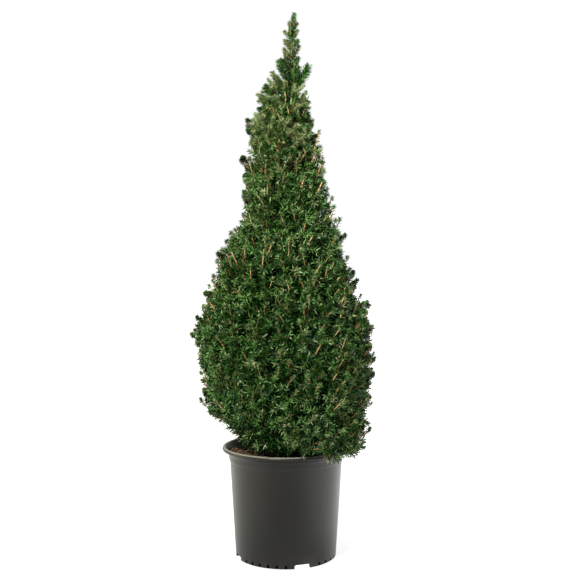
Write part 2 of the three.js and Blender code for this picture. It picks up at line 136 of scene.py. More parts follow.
@dataclass
class Shader:
    """A node tree that is written as Python expressions."""

    tree: bpy.types.NodeTree

    def make(
        self,
        kind: str,
        settings: dict[str, Any] | None = None,
        sockets: dict[int | str, Any] | None = None,
        output: int | str = 0,
    ) -> Signal:
        """Adds a node of any kind.

        Args:
            kind: The node's type.
            settings: Its properties, set first. "stops" fills a colour ramp with (position, colour) pairs.
            sockets: A value or a Signal for each input that is used.
            output: Which of its outputs is wanted.

        Returns:
            That output.
        """
        node = self.tree.nodes.new(kind)
        for name, value in (settings or {}).items():
            if name == "stops":
                self._fill_ramp(node, value)
            else:
                setattr(node, name, value)
        for name, value in (sockets or {}).items():
            if isinstance(value, Signal):
                self.tree.links.new(value.socket, node.inputs[name])
            else:
                node.inputs[name].default_value = value
        return Signal(self, node.outputs[output])

    @staticmethod
    def _fill_ramp(node: bpy.types.Node, stops: Stops) -> None:
        """Sets a colour ramp's stops.

        Args:
            node: The ramp's node.
            stops: A position and a colour for each stop.
        """
        elements = node.color_ramp.elements
        while len(elements) < len(stops):
            elements.new(1.0)
        for element, (position, colour) in zip(elements, stops):
            element.position = position
            element.color = (*colour, 1.0)

    def place(self, scale: tuple[float, float, float] = (1, 1, 1)) -> Signal:
        """The object's own coordinates, where a pattern is this much closer along each axis."""
        at = self.make("ShaderNodeTexCoord", output="Object")
        return self.make("ShaderNodeMapping", None, {"Vector": at, "Scale": scale})

    def part(self, at: Signal, axis: str) -> Signal:
        """The X, Y or Z of a place or a direction."""
        return self.make("ShaderNodeSeparateXYZ", None, {"Vector": at}, axis)

    def length(self, at: Signal) -> Signal:
        """How far a place is from the origin."""
        return self.make("ShaderNodeVectorMath", {"operation": "LENGTH"}, {0: at}, "Value")

    def noise(self, at: Signal, scale: float, detail: float = 3.0, roughness: float = 0.55) -> Signal:
        """Soft noise from 0 to 1: its lumps to the metre, its octaves, and how strong the finer ones are."""
        sockets = {"Vector": at, "Scale": scale, "Detail": detail, "Roughness": roughness}
        return self.make("ShaderNodeTexNoise", None, sockets, "Fac")

    def ramp(self, value: Signal, stops: Stops) -> Signal:
        """The colour at a value from 0 to 1 in a row of stops."""
        return self.make("ShaderNodeValToRGB", {"stops": stops}, {"Fac": value}, "Color")

    def fade(self, value: Signal, low: float, high: float, to_low: float = 0, to_high: float = 1) -> Signal:
        """A value moved from one range to another, and held at its ends."""
        sockets = {"Value": value, "From Min": low, "From Max": high, "To Min": to_low, "To Max": to_high}
        return self.make("ShaderNodeMapRange", {"clamp": True}, sockets)

    def blend(self, share: Signal | float, one: Signal | Colour, other: Signal | Colour) -> Signal:
        """One colour with a share of another mixed into it."""
        pair = [c if isinstance(c, Signal) else (*c, 1.0) for c in (one, other)]
        return self.make("ShaderNodeMix", {"data_type": "RGBA"}, {0: share, 6: pair[0], 7: pair[1]}, 2)

    def bump(self, height: Signal, distance: float, strength: float = 1.0) -> Signal:
        """The normal tilted by a height from 0 to 1, whose real size in metres is the distance."""
        sockets = {"Height": height, "Distance": distance, "Strength": strength}
        return self.make("ShaderNodeBump", None, sockets, "Normal")


class SurfaceShader(Shader):
    """A material's node tree round its one Principled shader."""

    def __init__(self, name: str) -> None:
        """Makes the material.

        Args:
            name: The material's name.
        """
        self.material = bpy.data.materials.new(name)
        self.material.use_nodes = True
        super().__init__(self.material.node_tree)
        self.surface = self.tree.nodes["Principled BSDF"]

    def dress(self, **values: Any) -> Material:
        """Sets the surface's sockets.

        Args:
            values: A number, a colour or a Signal for each socket, named with _ for its spaces.

        Returns:
            The material.
        """
        for name, value in values.items():
            socket = self.surface.inputs[name.replace("_", " ")]
            if isinstance(value, Signal):
                self.tree.links.new(value.socket, socket)
            elif socket.type == "RGBA":
                socket.default_value = (*value, 1.0)
            else:
                socket.default_value = value
        return self.material


# ---- finishes
@dataclass(frozen=True)
class EvenFinish:
    """A finish of one even colour, which is dealt out by spray, twig or chip."""

    name: str
    colour: Colour
    roughness: float = 0.5
    specular: float = 0.5

    def material(self) -> Material:
        """The finish as a material."""
        look = {"Roughness": self.roughness, "Specular_IOR_Level": self.specular}
        return SurfaceShader(self.name).dress(Base_Color=self.colour, **look)


class Needle(Enum):
    """The greens of the needles, from deep inside the crown to its fresh tips. The deep and shade greens are
    partly the older inner needles' own colour and partly painted shade inside the crown.
    """

    DEEP = EvenFinish("needles_deep", (0.004, 0.022, 0.002), 0.6, 0.08)
    SHADE = EvenFinish("needles_shade", (0.013, 0.058, 0.007), 0.5, 0.15)
    MIDDLE = EvenFinish("needles_middle", (0.034, 0.120, 0.020), 0.42, 0.4)
    BLUISH = EvenFinish("needles_bluish", (0.038, 0.122, 0.048), 0.4, 0.5)
    FRESH = EvenFinish("needles_fresh", (0.060, 0.160, 0.026), 0.42, 0.4)
    PALE = EvenFinish("needles_pale", (0.210, 0.246, 0.092), 0.45, 0.4)
    SILVER = EvenFinish("needles_silver", (0.310, 0.350, 0.172), 0.4, 0.5)
    BRIGHT = EvenFinish("needles_bright", (0.140, 0.290, 0.085), 0.45, 0.4)


NEIGHBOURS = {
    Needle.DEEP: (Needle.DEEP, Needle.MIDDLE),
    Needle.SHADE: (Needle.DEEP, Needle.MIDDLE),
    Needle.MIDDLE: (Needle.DEEP, Needle.BRIGHT),
    Needle.BLUISH: (Needle.DEEP, Needle.SILVER),
    Needle.FRESH: (Needle.DEEP, Needle.BRIGHT),
    Needle.PALE: (Needle.MIDDLE, Needle.SILVER),
    Needle.SILVER: (Needle.MIDDLE, Needle.PALE),
    Needle.BRIGHT: (Needle.SHADE, Needle.SILVER),
}
# For each green a darker and a lighter one, which some needles of its sprays have: partly the needles' own
# differing tones, and partly painted shade and painted highlight on their sides.
"""For each green a darker and a lighter one, which some needles of its sprays have."""


class Twig(Enum):
    """The barks of the twigs, from last year's wood to this year's shoots."""

    OLD = EvenFinish("twigs_old", (0.090, 0.052, 0.028), 0.75, 0.3)
    LEAFY = EvenFinish("twigs_leafy", (0.095, 0.085, 0.030), 0.65, 0.3)
    BROWN = EvenFinish("twigs_brown", (0.420, 0.220, 0.095), 0.6, 0.35)
    YOUNG = EvenFinish("twigs_young", (0.640, 0.410, 0.190), 0.5, 0.4)


class Bud(Enum):
    """The scales of the buds at the shoots' tips."""

    BROWN = EvenFinish("buds_brown", (0.070, 0.036, 0.018), 0.5, 0.4)
    TAN = EvenFinish("buds_tan", (0.260, 0.150, 0.060), 0.5, 0.4)


class Chip(Enum):
    """The crumbs that lie on the soil."""

    DARK = EvenFinish("chips_dark", (0.070, 0.052, 0.038), 0.85, 0.3)
    BROWN = EvenFinish("chips_brown", (0.210, 0.135, 0.090), 0.8, 0.3)
    RED = EvenFinish("chips_red", (0.200, 0.062, 0.030), 0.8, 0.3)
    GREY = EvenFinish("chips_grey", (0.190, 0.160, 0.130), 0.85, 0.3)


def materials_of(family: type[Enum]) -> list[Material]:
    """Every finish of a family as a material, in the family's order."""
    return [finish.value.material() for finish in family]


def indices(members: Sequence[Enum]) -> np.ndarray:
    """The place of each member in its family, which is the index of its material."""
    order = list(type(members[0]))
    return np.array([order.index(member) for member in members])


@dataclass(frozen=True)
class MouldedPlastic:
    """Satin dark grey-brown plastic with a fine moulded grain and faint scuffs, a pale band along the lip's
    top edge that is partly wear and partly painted highlight, and near-black paint low in the foot that is
    painted shade.
    """

    colour: Colour = (0.0100, 0.0094, 0.0077)
    scuffed: Colour = (0.0160, 0.0155, 0.0132)
    dust: Colour = (0.060, 0.053, 0.042)
    worn_lip_highlight: Colour = (0.360, 0.350, 0.315)
    foot_recess_shade: Colour = (0.0012, 0.0010, 0.0008)
    lip_height: float = 0.2374
    foot_height: float = 0.012
    foot_radius: float = 0.1088
    dust_height: float = 0.03
    roughness: float = 0.31
    rougher: float = 0.5
    specular: float = 0.33
    grain: float = 0.00006

    def material(self) -> Material:
        """Makes the finish.

        Returns:
            The material.
        """
        shader = SurfaceShader("pot_plastic")
        clouds = shader.noise(shader.place((1, 1, 0.35)), 26, 4, 0.6)
        scratches = shader.noise(shader.place((1, 1, 14)), 45, 2, 0.7)
        height = shader.part(shader.place(), "Z")
        dusty = shader.fade(height, self.dust_height, 0.0, 0, 0.55) * shader.fade(clouds, 0.45, 0.7)
        worn = shader.fade(clouds, 0.42, 0.72, 0, 0.5) + shader.fade(scratches, 0.62, 0.8, 0, 0.3)
        colour = shader.blend(worn, self.colour, self.scuffed)
        from_axis = shader.length(shader.place((1, 1, 0)))
        # Painted highlight: a pale band along the lip's top edge, which stands partly for real wear and
        # partly for the highlight that the lip catches.
        high = shader.fade(height, self.lip_height, self.lip_height + 0.002)
        worn_lip_highlight = high * shader.fade(clouds, 0.2, 0.45)
        # Painted shade: low in the foot, inside its outer face, in the slots above all, the plastic is
        # near-black and rougher, as shade in these recesses.
        low = shader.fade(height, self.foot_height, self.foot_height - 0.001)
        foot_recess_shade_mask = low * shader.fade(from_axis, self.foot_radius, self.foot_radius - 0.0012)
        colour = shader.blend(worn_lip_highlight, shader.blend(dusty, colour, self.dust), self.worn_lip_highlight)
        scuffs = shader.fade(scratches, 0.6, 0.8, 0, 0.06)
        rough = self.roughness + 0.10 * clouds + scuffs + self.rougher * foot_recess_shade_mask
        grain = shader.noise(shader.place(), 900, 2, 0.5) + 2.5 * shader.noise(shader.place(), 130, 1)
        return shader.dress(
            Base_Color=shader.blend(foot_recess_shade_mask, colour, self.foot_recess_shade),
            Roughness=rough,
            Normal=shader.bump(grain, self.grain, 0.6),
            Specular_IOR_Level=self.specular,
        )


@dataclass(frozen=True)
class DampCompost:
    """Dark crumbs of bark and peat."""

    dark: Colour = (0.040, 0.030, 0.021)
    brown: Colour = (0.240, 0.180, 0.130)
    red: Colour = (0.260, 0.125, 0.075)
    crumbs_per_metre: float = 260
    grain: float = 0.0012

    def material(self) -> Material:
        """Makes the finish.

        Returns:
            The material.
        """
        shader = SurfaceShader("potting_mix")
        sockets = {"Vector": shader.place(), "Scale": self.crumbs_per_metre}
        crumbs = shader.make("ShaderNodeTexVoronoi", None, sockets, "Color")
        tone = shader.make("ShaderNodeSeparateColor", None, {"Color": crumbs}, "Red")
        stops = ((0.0, self.dark), (0.55, self.brown), (0.85, self.red), (1.0, self.brown))
        relief = shader.noise(shader.place(), 420, 4, 0.7)
        return shader.dress(
            Base_Color=shader.ramp(tone * (0.4 + 0.6 * relief), stops),
            Roughness=0.8 + 0.15 * relief,
            Normal=shader.bump(relief, self.grain, 0.8),
            Specular_IOR_Level=0.25,
        )


@dataclass(frozen=True)
class ScalyBark:
    """Grey-brown bark in small thin scales with reddish edges."""

    furrow: Colour = (0.030, 0.018, 0.011)
    scale: Colour = (0.150, 0.098, 0.064)
    fresh: Colour = (0.200, 0.095, 0.045)
    plates_per_metre: float = 190
    grain: float = 0.0007

    def material(self) -> Material:
        """Makes the finish.

        Returns:
            The material.
        """
        shader = SurfaceShader("bark")
        at = shader.place((1, 1, 0.55))
        settings, sockets = {"feature": "DISTANCE_TO_EDGE"}, {"Vector": at, "Scale": self.plates_per_metre}
        edges = shader.make("ShaderNodeTexVoronoi", settings, sockets, "Distance")
        fibres = shader.noise(shader.place((1, 1, 0.2)), 520, 4, 0.7)
        patches = shader.noise(at, 60, 2)
        plates = shader.blend(shader.fade(patches, 0.4, 0.65), self.scale, self.fresh)
        raised = shader.fade(edges, 0.0, 0.22)
        return shader.dress(
            Base_Color=shader.blend(raised * (0.55 + 0.45 * fibres), self.furrow, plates),
            Roughness=0.72 + 0.2 * fibres,
            Normal=shader.bump(raised + 0.5 * fibres, self.grain, 0.9),
            Specular_IOR_Level=0.3,
        )


@dataclass(frozen=True)
class PaleFloor:
    """The pale floor of the studio, which glows as painted light: dimmer in a band just in front of the pot,
    brighter to its right and left, and brightest under the pot, where the notches show it.
    """

    colour: Colour = (0.50, 0.50, 0.50)
    glow: Stops = (
        (0.09, (0.40, 0.40, 0.40)),
        (0.18, (0.78, 0.78, 0.78)),
        (0.30, (0.84, 0.84, 0.84)),
        (0.80, (0.90, 0.90, 0.90)),
    )
    far: Colour = (0.94, 0.94, 0.94)
    bright: Colour = (1.7, 1.7, 1.7)
    warm: Colour = (1.5, 1.48, 1.32)

    def material(self) -> Material:
        """Makes the finish.

        Returns:
            The material.
        """
        shader = SurfaceShader("glowing_floor")
        ahead, aside = (shader.part(shader.place(), axis) for axis in "YX")
        away = shader.length(shader.place())
        # Painted light: the floor glows, dimmer in front of the pot, brighter to its right, warm to its left,
        # and even far away.
        near = shader.fade(ahead, -0.6, -0.3)
        # Painted light: the floor also glows brightly under the pot itself, which lies in the pot's shade.
        right = near * shader.fade(aside, 0.14, 0.34) + shader.fade(away, 0.105, 0.098, 0, 0.6)
        left = near * shader.fade(aside, -0.14, -0.4, 0, 0.8)
        around = shader.ramp(0.2 + 0.2 * ahead, self.glow)
        round_pot = shader.blend(shader.fade(away, 0.5, 1.0), around, self.far)
        glow = shader.blend(right, round_pot, self.bright)
        return shader.dress(
            Base_Color=self.colour,
            Roughness=0.9,
            Specular_IOR_Level=0.1,
            Emission_Color=shader.blend(left, glow, self.warm),
            Emission_Strength=1.0,
        )


# ---- modelling tools
@dataclass(frozen=True)
class Ring:
    """One cross-section of a piece: its centre and radius, in metres."""

    centre: Vector
    radius: float


def turned(profile: Sequence[tuple[float, float]]) -> list[Ring]:
    """The rings of a round body that stands on the origin, from radii and heights in millimetres."""
    return [Ring(up(height) * MM, radius * MM) for radius, height in profile]


class Bench:
    """Blender's own modelling tools, used as by hand on one new piece at a time."""

    @staticmethod
    def clear() -> None:
        """Deselects everything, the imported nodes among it."""
        bpy.ops.object.select_all(action="DESELECT")

    @classmethod
    def take(cls, piece: Piece) -> None:
        """Selects one piece and makes it active.

        Args:
            piece: The piece.
        """
        cls.clear()
        piece.select_set(True)
        bpy.context.view_layer.objects.active = piece

    @staticmethod
    def settle(piece: Piece) -> None:
        """Moves a selected piece's place into its mesh."""
        bpy.ops.object.transform_apply(location=True, rotation=True, scale=True)
        piece.data.name = piece.name

    @classmethod
    def drawn(cls, name: str, sides: int, rings: Sequence[Ring], facing: Vector | None = None) -> Piece:
        """Adds a closed body, from a flat disc that is extruded from ring to ring.

        Args:
            name: The new piece's name.
            sides: The corners of the disc.
            rings: Every cross-section, the disc first.
            facing: The way that the disc faces, or up.

        Returns:
            The new piece.
        """
        cls.clear()
        first = rings[0]
        turn = (facing or up(1)).to_track_quat("Z", "Y").to_euler()
        bpy.ops.mesh.primitive_circle_add(
            vertices=sides, radius=first.radius, fill_type="NGON", location=first.centre, rotation=turn
        )
        piece = bpy.context.active_object
        piece.name = name
        cls.settle(piece)
        bpy.ops.object.mode_set(mode="EDIT")
        bpy.ops.mesh.select_mode(type="FACE")
        bpy.ops.mesh.select_all(action="SELECT")
        for last, ring in zip(rings, rings[1:]):
            bpy.ops.mesh.extrude_region_move(TRANSFORM_OT_translate={"value": ring.centre - last.centre})
            share = ring.radius / last.radius
            bpy.ops.transform.resize(value=(share, share, share), center_override=ring.centre)
        bpy.ops.mesh.select_all(action="SELECT")
        bpy.ops.mesh.normals_make_consistent(inside=False)
        bpy.ops.object.mode_set(mode="OBJECT")
        return piece

    @classmethod
    def pick(cls, piece: Piece, wanted: Callable[[Vector], bool]) -> None:
        """Enters edit mode with the wanted vertices selected.

        Args:
            piece: The piece.
            wanted: Says of a vertex's place whether it is wanted.
        """
        cls.take(piece)
        bpy.ops.object.mode_set(mode="EDIT")
        bpy.ops.mesh.select_mode(type="VERT")
        bpy.ops.mesh.select_all(action="DESELECT")
        bpy.ops.object.mode_set(mode="OBJECT")
        for vertex in piece.data.vertices:
            vertex.select = wanted(vertex.co)
        bpy.ops.object.mode_set(mode="EDIT")

    @classmethod
    def finish(cls, piece: Piece, kind: str, **settings: Any) -> None:
        """Adds a modifier to a piece and applies it.

        Args:
            piece: The piece.
            kind: The modifier's type.
            settings: Its properties.
        """
        cls.take(piece)
        modifier = piece.modifiers.new(kind.title(), kind)
        for name, value in settings.items():
            setattr(modifier, name, value)
        bpy.ops.object.modifier_apply(modifier=modifier.name)

    @classmethod
    def join(cls, pieces: Sequence[Piece], name: str) -> Piece:
        """Joins several pieces into one.

        Args:
            pieces: The pieces.
            name: The joined piece's name.

        Returns:
            The joined piece.
        """
        cls.take(pieces[0])
        for piece in pieces[1:]:
            piece.select_set(True)
        bpy.ops.object.join()
        joined = bpy.context.active_object
        joined.name = joined.data.name = name
        return joined

    @classmethod
    def smooth(cls, piece: Piece, angle: float) -> None:
        """Shades a piece smooth, apart from edges sharper than an angle in degrees."""
        cls.take(piece)
        bpy.ops.object.shade_smooth_by_angle(angle=math.radians(angle))

    @classmethod
    def raise_clouds(cls, piece: Piece, name: str, size: float, height: float, **settings: Any) -> None:
        """Gives a piece's surface a cloudy relief.

        Args:
            piece: The piece.
            name: The start of the relief's name.
            size: Its lumps' size in metres.
            height: Their height in metres.
            settings: More properties of the Displace modifier.
        """
        texture = bpy.data.textures.new(f"{name}_{size}", "CLOUDS")
        texture.noise_scale = size
        texture.noise_depth = 2
        cls.finish(piece, "DISPLACE", texture=texture, strength=height, mid_level=0.5, **settings)


def hand_over(piece: Piece, nodes: Sequence[str], materials: Sequence[Material]) -> None:
    """Puts a finished piece on the plant's one body.

    Args:
        piece: The finished piece.
        nodes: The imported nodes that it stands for, if any.
        materials: Its materials, in the order of its faces' indices.
    """
    for material in materials:
        piece.data.materials.append(material)
    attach(piece, "root")
    if nodes:
        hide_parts(*nodes)
    triangles = sum(len(face.vertices) - 2 for face in piece.data.polygons)
    log.info("%s: %d triangles, in place of %d nodes", piece.name, triangles, len(nodes))


def repeated(
    name: str,
    corners: Sequence[np.ndarray],
    pattern: Sequence[tuple[int, ...]],
    tints: np.ndarray,
    smooth: bool,
) -> Piece:
    """Makes one object of many small bodies whose faces join their corners in the same way.

    Args:
        name: The object's name.
        corners: For each corner of a body, where every body has it, in millimetres, as rows of three.
        pattern: The corners of each face of a body, the same number for all.
        tints: The material index of every body.
        smooth: Whether the faces are shaded smooth.

    Returns:
        The object.
    """
    points = np.stack(corners, axis=1).reshape(-1, 3) * MM
    faces = (np.arange(len(tints)) * len(corners))[:, None, None] + np.array(pattern)
    count, sides = len(tints) * len(pattern), len(pattern[0])
    mesh = bpy.data.meshes.new(name)
    mesh.vertices.add(len(points))
    mesh.vertices.foreach_set("co", points.astype(np.float32).ravel())
    mesh.loops.add(count * sides)
    mesh.loops.foreach_set("vertex_index", faces.astype(np.int32).ravel())
    mesh.polygons.add(count)
    mesh.polygons.foreach_set("loop_start", (np.arange(count) * sides).astype(np.int32))
    mesh.polygons.foreach_set("material_index", np.repeat(tints, len(pattern)).astype(np.int32))
    mesh.polygons.foreach_set("use_smooth", np.full(count, smooth))
    mesh.update(calc_edges=True)
    piece = bpy.data.objects.new(name, mesh)
    bpy.context.scene.collection.objects.link(piece)
    return piece


# ---- the crown's rule
class Chance:
    """A stream of numbers from 0 to 1 that is the same on every run."""

    FACTOR = 48271
    MODULUS = 2147483647

    def __init__(self, seed: int) -> None:
        """Starts the stream that belongs to a whole number."""
        self.state = 7919 * seed + 11
        self.next()

    def next(self) -> float:
        """The next number."""
        self.state = self.state * self.FACTOR % self.MODULUS
        return self.state / self.MODULUS

    def signed(self) -> float:
        """The next number, from -1 to 1."""
        return 2 * self.next() - 1

    def varied(self, spread: float = 0.15) -> float:
        """A number close to 1."""
        return 1 + spread * self.signed()

    def more(self, spread: Spread) -> float:
        """A size between its least and its most."""
        least, added = spread
        return least + added * self.next()

    def pick(self, choices: Sequence[tuple[Any, float]]) -> Any:
        """Picks one of several choices.

        Args:
            choices: Each choice with its weight.

        Returns:
            The choice.
        """
        left = self.next() * sum(weight for _, weight in choices)
        for choice, weight in choices:
            left -= weight
            if left <= 0:
                return choice
        return choices[-1][0]


@dataclass(frozen=True)
class Tier:
    """One tier of masses: a wavy cone under it, its sectors, and how its twigs grow."""

    base: float
    rise: float
    sectors: int
    turn: float
    coarse: int
    limb: bool
    climb: float


@dataclass(frozen=True)
class Space:
    """The space of one mass: a sector of one tier."""

    name: str
    seed: int
    azimuth: float
    half: float
    tier: int
    under: Tier
    over: Tier

    @property
    def bough(self) -> str:
        """The name of the limb that carries the mass."""
        return self.name.replace("foliage", "bough")


@dataclass(frozen=True)
class CrownRule:
    """The rule that the plant's solids grow by, in millimetres."""

    outline: tuple[Colour, ...] = (
        (236, 98, 0),
        (259, 118, 0),
        (276, 138, 0),
        (296, 163, 0),
        (345, 184, 0),
        (430, 192, -8),
        (500, 190, -10),
        (560, 168, -8),
        (610, 147, -6),
        (670, 139, -10),
        (730, 104, -3),
        (850, 90, -9),
        (915, 80, -16),
        (1010, 60, -14),
        (1060, 40, -4),
        (1105, 22, -2),
        (1180, 9, 0),
    )
    tiers: tuple[Tier, ...] = (
        Tier(205, 0.0, 6, -72, 6, True, 0.1),
        Tier(318, 0.16, 5, -50, 7, True, 0.34),
        Tier(396, 0.32, 5, -86, 7, True, 0.5),
        Tier(478, 0.48, 4, -60, 7, True, 0.66),
        Tier(572, 0.64, 4, -100, 5, False, 0.85),
        Tier(664, 0.85, 3, -75, 5, False, 1.05),
        Tier(762, 1.05, 3, -20, 4, False, 1.3),
        Tier(872, 1.2, 3, -80, 4, False, 1.6),
        Tier(976, 1.3, 0, 0, 0, False, 2.0),
    )
    coarse_lumps: float = 0.035
    coarse_pitch: float = 55
    fine_lumps: float = 0.025
    fine_pitch: float = 31
    lobe_azimuth: float = math.radians(-36)
    lobe_reach: float = math.radians(115)
    lobe_drop: float = 72
    lobe_fades: float = 400
    lobe_full: float = 260
    lobe_hang: float = 37
    lobe_droop: float = 1.1
    tuck_azimuth: float = math.radians(-160)
    tuck_reach: float = math.radians(95)
    tuck_foot: float = 64
    tuck_slope: float = 0.9
    tuck_edge: float = 2.5
    wave_count: int = 3
    wave_share: float = 0.085
    spacing: float = 1.4
    soil: float = 218
    lean: float = 11
    pot_height: float = 240
    lip_radius: float = 139.7
    inside_radius: float = 113.5
    trunk_tip: float = 1006
    trunk_foot_radius: float = 15
    trunk_tip_radius: float = 3.2
    flare: float = 0.75
    flare_height: float = 34
    bough_share: float = 0.4
    upper_share: float = 0.3
    inset: float = 4
    touch: float = 0.3
    needle_room: float = 13
    over_soil: float = 8
    over_lip: float = 5
    past_lip: float = 6

    @property
    def top(self) -> float:
        """The height of the leader's tip."""
        return self.outline[-1][0]

    def axis(self, height: float) -> Vector:
        """Where the trunk's axis is at a height."""
        share = (height - self.soil) / (self.top - self.soil)
        return Vector((self.lean * share, 0, height))

    def from_axis(self, point: Vector) -> float:
        """The horizontal distance of a point from the trunk's axis."""
        return (point - self.axis(point.z)).to_2d().length

    def azimuth(self, point: Vector) -> float:
        """The azimuth of a point round the trunk's axis."""
        out = point - self.axis(point.z)
        return math.atan2(out.y, out.x)

    def outline_at(self, height: float) -> tuple[float, float]:
        """The outline's radius at a height, and how far its middle lies to +X."""
        heights, radii, asides = zip(*self.outline)
        return float(np.interp(height, heights, radii)), float(np.interp(height, heights, asides))

    def lobe(self, azimuth: float) -> float:
        """From 0 to 1, how much of the skirt's lobe there is at an azimuth."""
        away = math.remainder(azimuth - self.lobe_azimuth, 2 * math.pi) / self.lobe_reach
        return math.cos(clamp(away, -1.0) * math.pi / 2) ** 2

    def skirt(self, height: float) -> float:
        """From 0 to 1, how far the skirt's lobe has faded in at a height."""
        return fallen(height, self.lobe_fades, self.lobe_fades - self.lobe_full)

    def radius(self, height: float, azimuth: float) -> float:
        """The crown's radius from the axis, with its lobe and lumps.

        Args:
            height: The height.
            azimuth: The azimuth round the axis.

        Returns:
            The radius.
        """
        radius, aside = self.outline_at(height + self.lobe_drop * self.lobe(azimuth) * self.skirt(height))
        coarse = self.coarse_lumps * math.sin(3 * azimuth + height / self.coarse_pitch)
        fine = self.fine_lumps * math.sin(5 * azimuth - height / self.fine_pitch)
        return radius * (1 + coarse + fine) + aside * math.cos(azimuth)

    def depth(self, point: Vector) -> float:
        """How far a point lies inside the crown's outline."""
        return self.radius(point.z, self.azimuth(point)) - self.from_axis(point)

    def lowest(self, radius: float, azimuth: float) -> float:
        """The lowest that foliage may hang: over the soil, over the lip, or outside it.

        Args:
            radius: The distance from the trunk's axis.
            azimuth: The azimuth. To the left the foliage is tucked up from a foot near the trunk.

        Returns:
            The height.
        """
        away = abs(math.remainder(azimuth - self.tuck_azimuth, 2 * math.pi)) / self.tuck_reach
        rise = self.tuck_slope * (radius - self.tuck_foot)
        tucked = self.soil + rise * clamp(self.tuck_edge * (1 - away))
        if radius < self.inside_radius:
            return max(self.soil + self.over_soil, tucked)
        over_lip = self.pot_height + self.over_lip
        if radius < self.lip_radius + self.past_lip:
            return max(over_lip, tucked)
        return max(over_lip - self.lobe_hang * self.lobe(azimuth) ** 8, tucked)

    def spaces(self) -> Iterator[Space]:
        """Every mass's space, from the lowest tier up.

        Yields:
            The spaces.
        """
        for tier, (under, over) in enumerate(zip(self.tiers, self.tiers[1:]), 1):
            for sector in range(under.sectors):
                name, seed = f"foliage_tier{tier}_{sector + 1}", 10 * tier + sector
                azimuth = math.radians(under.turn + 360 * sector / under.sectors)
                yield Space(name, seed, azimuth, math.pi / under.sectors, tier, under, over)

    def seam(self, tier: Tier, radius: float, azimuth: float) -> float:
        """The height of a tier's lower surface at a radius and an azimuth."""
        wave = self.wave_share * math.sin(self.wave_count * azimuth + tier.base)
        return tier.base + radius * (tier.rise + wave)

    def place(self, space: Space, offset: float, radius: float, share: float) -> Vector:
        """The point of a space at an azimuth offset, a radius and a share of its height.

        Args:
            space: The space.
            offset: The angle from the space's middle, in radians.
            radius: The distance from the trunk's axis.
            share: The share of the height between the space's surfaces.

        Returns:
            The point.
        """
        azimuth = space.azimuth + offset
        low = self.seam(space.under, radius, azimuth)
        height = low + (self.seam(space.over, radius, azimuth) - low) * share
        return self.axis(height) + radius * level_way(azimuth)

    def holds(self, space: Space, point: Vector, past: float = 0.0) -> bool:
        """Whether a point lies in a space, clear of the pot and of the soil.

        Args:
            space: The space.
            point: The point.
            past: How far fine twigs may mingle with those of the next space.

        Returns:
            Whether it does.
        """
        radius, azimuth = self.from_axis(point), self.azimuth(point)
        away = abs(math.remainder(azimuth - space.azimuth, 2 * math.pi))
        aside = radius * (space.half - away) > self.spacing - past
        clear = self.lowest(radius, azimuth) + (self.needle_room if past else 0)
        low = max(self.seam(space.under, radius, azimuth) + self.spacing - past, clear)
        return aside and low < point.z < self.seam(space.over, radius, azimuth) - self.spacing + past

    def surface(self, space: Space, offset: float, share: float, depth: float) -> Vector:
        """The point of a space at an offset and a share of its height, at a depth inside the outline.

        Args:
            space: The space.
            offset: The angle from the space's middle, in radians.
            share: The share of the height between the space's surfaces.
            depth: The distance inside the crown's outline.

        Returns:
            The point.
        """
        point = self.place(space, offset, self.outline_at(space.over.base)[0], share)
        for _ in range(6):
            radius = self.radius(point.z, space.azimuth + offset) - depth
            point = self.place(space, offset, radius, share)
        return point

    def entry(self, space: Space) -> float:
        """The radius at which a bough ends, or a mass on the trunk begins."""
        inner = self.bough_share if space.under.limb else self.upper_share
        return inner * self.radius(self.place(space, 0, 60, 0.5).z, space.azimuth)

    def trunk_radius(self, height: float, roots: float = 1.0) -> float:
        """The trunk's radius.

        Args:
            height: The height.
            roots: How much of its root flare it has.

        Returns:
            The radius.
        """
        share = risen(height, self.soil, self.trunk_tip - self.soil)
        near = clamp(1 - (height - self.soil) / self.flare_height)
        bole = self.trunk_foot_radius + (self.trunk_tip_radius - self.trunk_foot_radius) * share**0.85
        return bole * (1 + self.flare * near * near * roots)

    def on_trunk(self, space: Space, below: float) -> Vector:
        """Where a space's limb or stem meets the trunk; its lower side is `below` under its axis."""
        height = self.place(space, 0, 1, 0.5).z
        return self.place(space, 0, self.trunk_radius(height - below) + self.touch, 0.5)


# ---- twigs and needles
@dataclass(frozen=True)
class Stick:
    """A curved twig, in millimetres: it runs from its root to its tip and leans towards its bend."""

    root: Vector
    bend: Vector
    tip: Vector
    thick: float
    thin: float
    tint: Twig

    def at(self, share: float) -> Vector:
        """The point at a share of the twig."""
        back = 1 - share
        return back * back * self.root + 2 * back * share * self.bend + share * share * self.tip

    def heading(self, share: float) -> Vector:
        """The direction at a share of the twig."""
        return ((1 - share) * (self.bend - self.root) + share * (self.tip - self.bend)).normalized()

    @property
    def length(self) -> float:
        """The twig's length, along its two halves."""
        middle = self.at(0.5)
        return (middle - self.root).length + (self.tip - middle).length


@dataclass(frozen=True)
class Shoot:
    """The needles of one twig: they stand all round it, and more and more forward to its tip."""

    stick: Stick
    needle: float
    count: int
    body: Needle
    tuft: Needle
    starts: float = 0.0
    tilt: float = 60.0
    wide: float = 1.0


@dataclass(frozen=True)
class Arm:
    """A long shoot at the leader's foot: its fork, way, lean and length, and how long its needles are."""

    fork: float
    azimuth: float
    lean: float
    length: float
    needle: float = 12.5


LEADER_ARMS = (
    Arm(1010, -8, 35, 68, 16.5),
    Arm(1036, 186, 31, 48, 14),
    Arm(1007, 203, 44, 60),
    Arm(1008, 152, 40, 52),
    Arm(1007, -62, 26, 56),
    Arm(1007, 98, 26, 60),
    Arm(1008, -120, 24, 50),
    Arm(1008, 30, 22, 54),
)
"""The leader's long shoots: the two that show most, then the rest."""


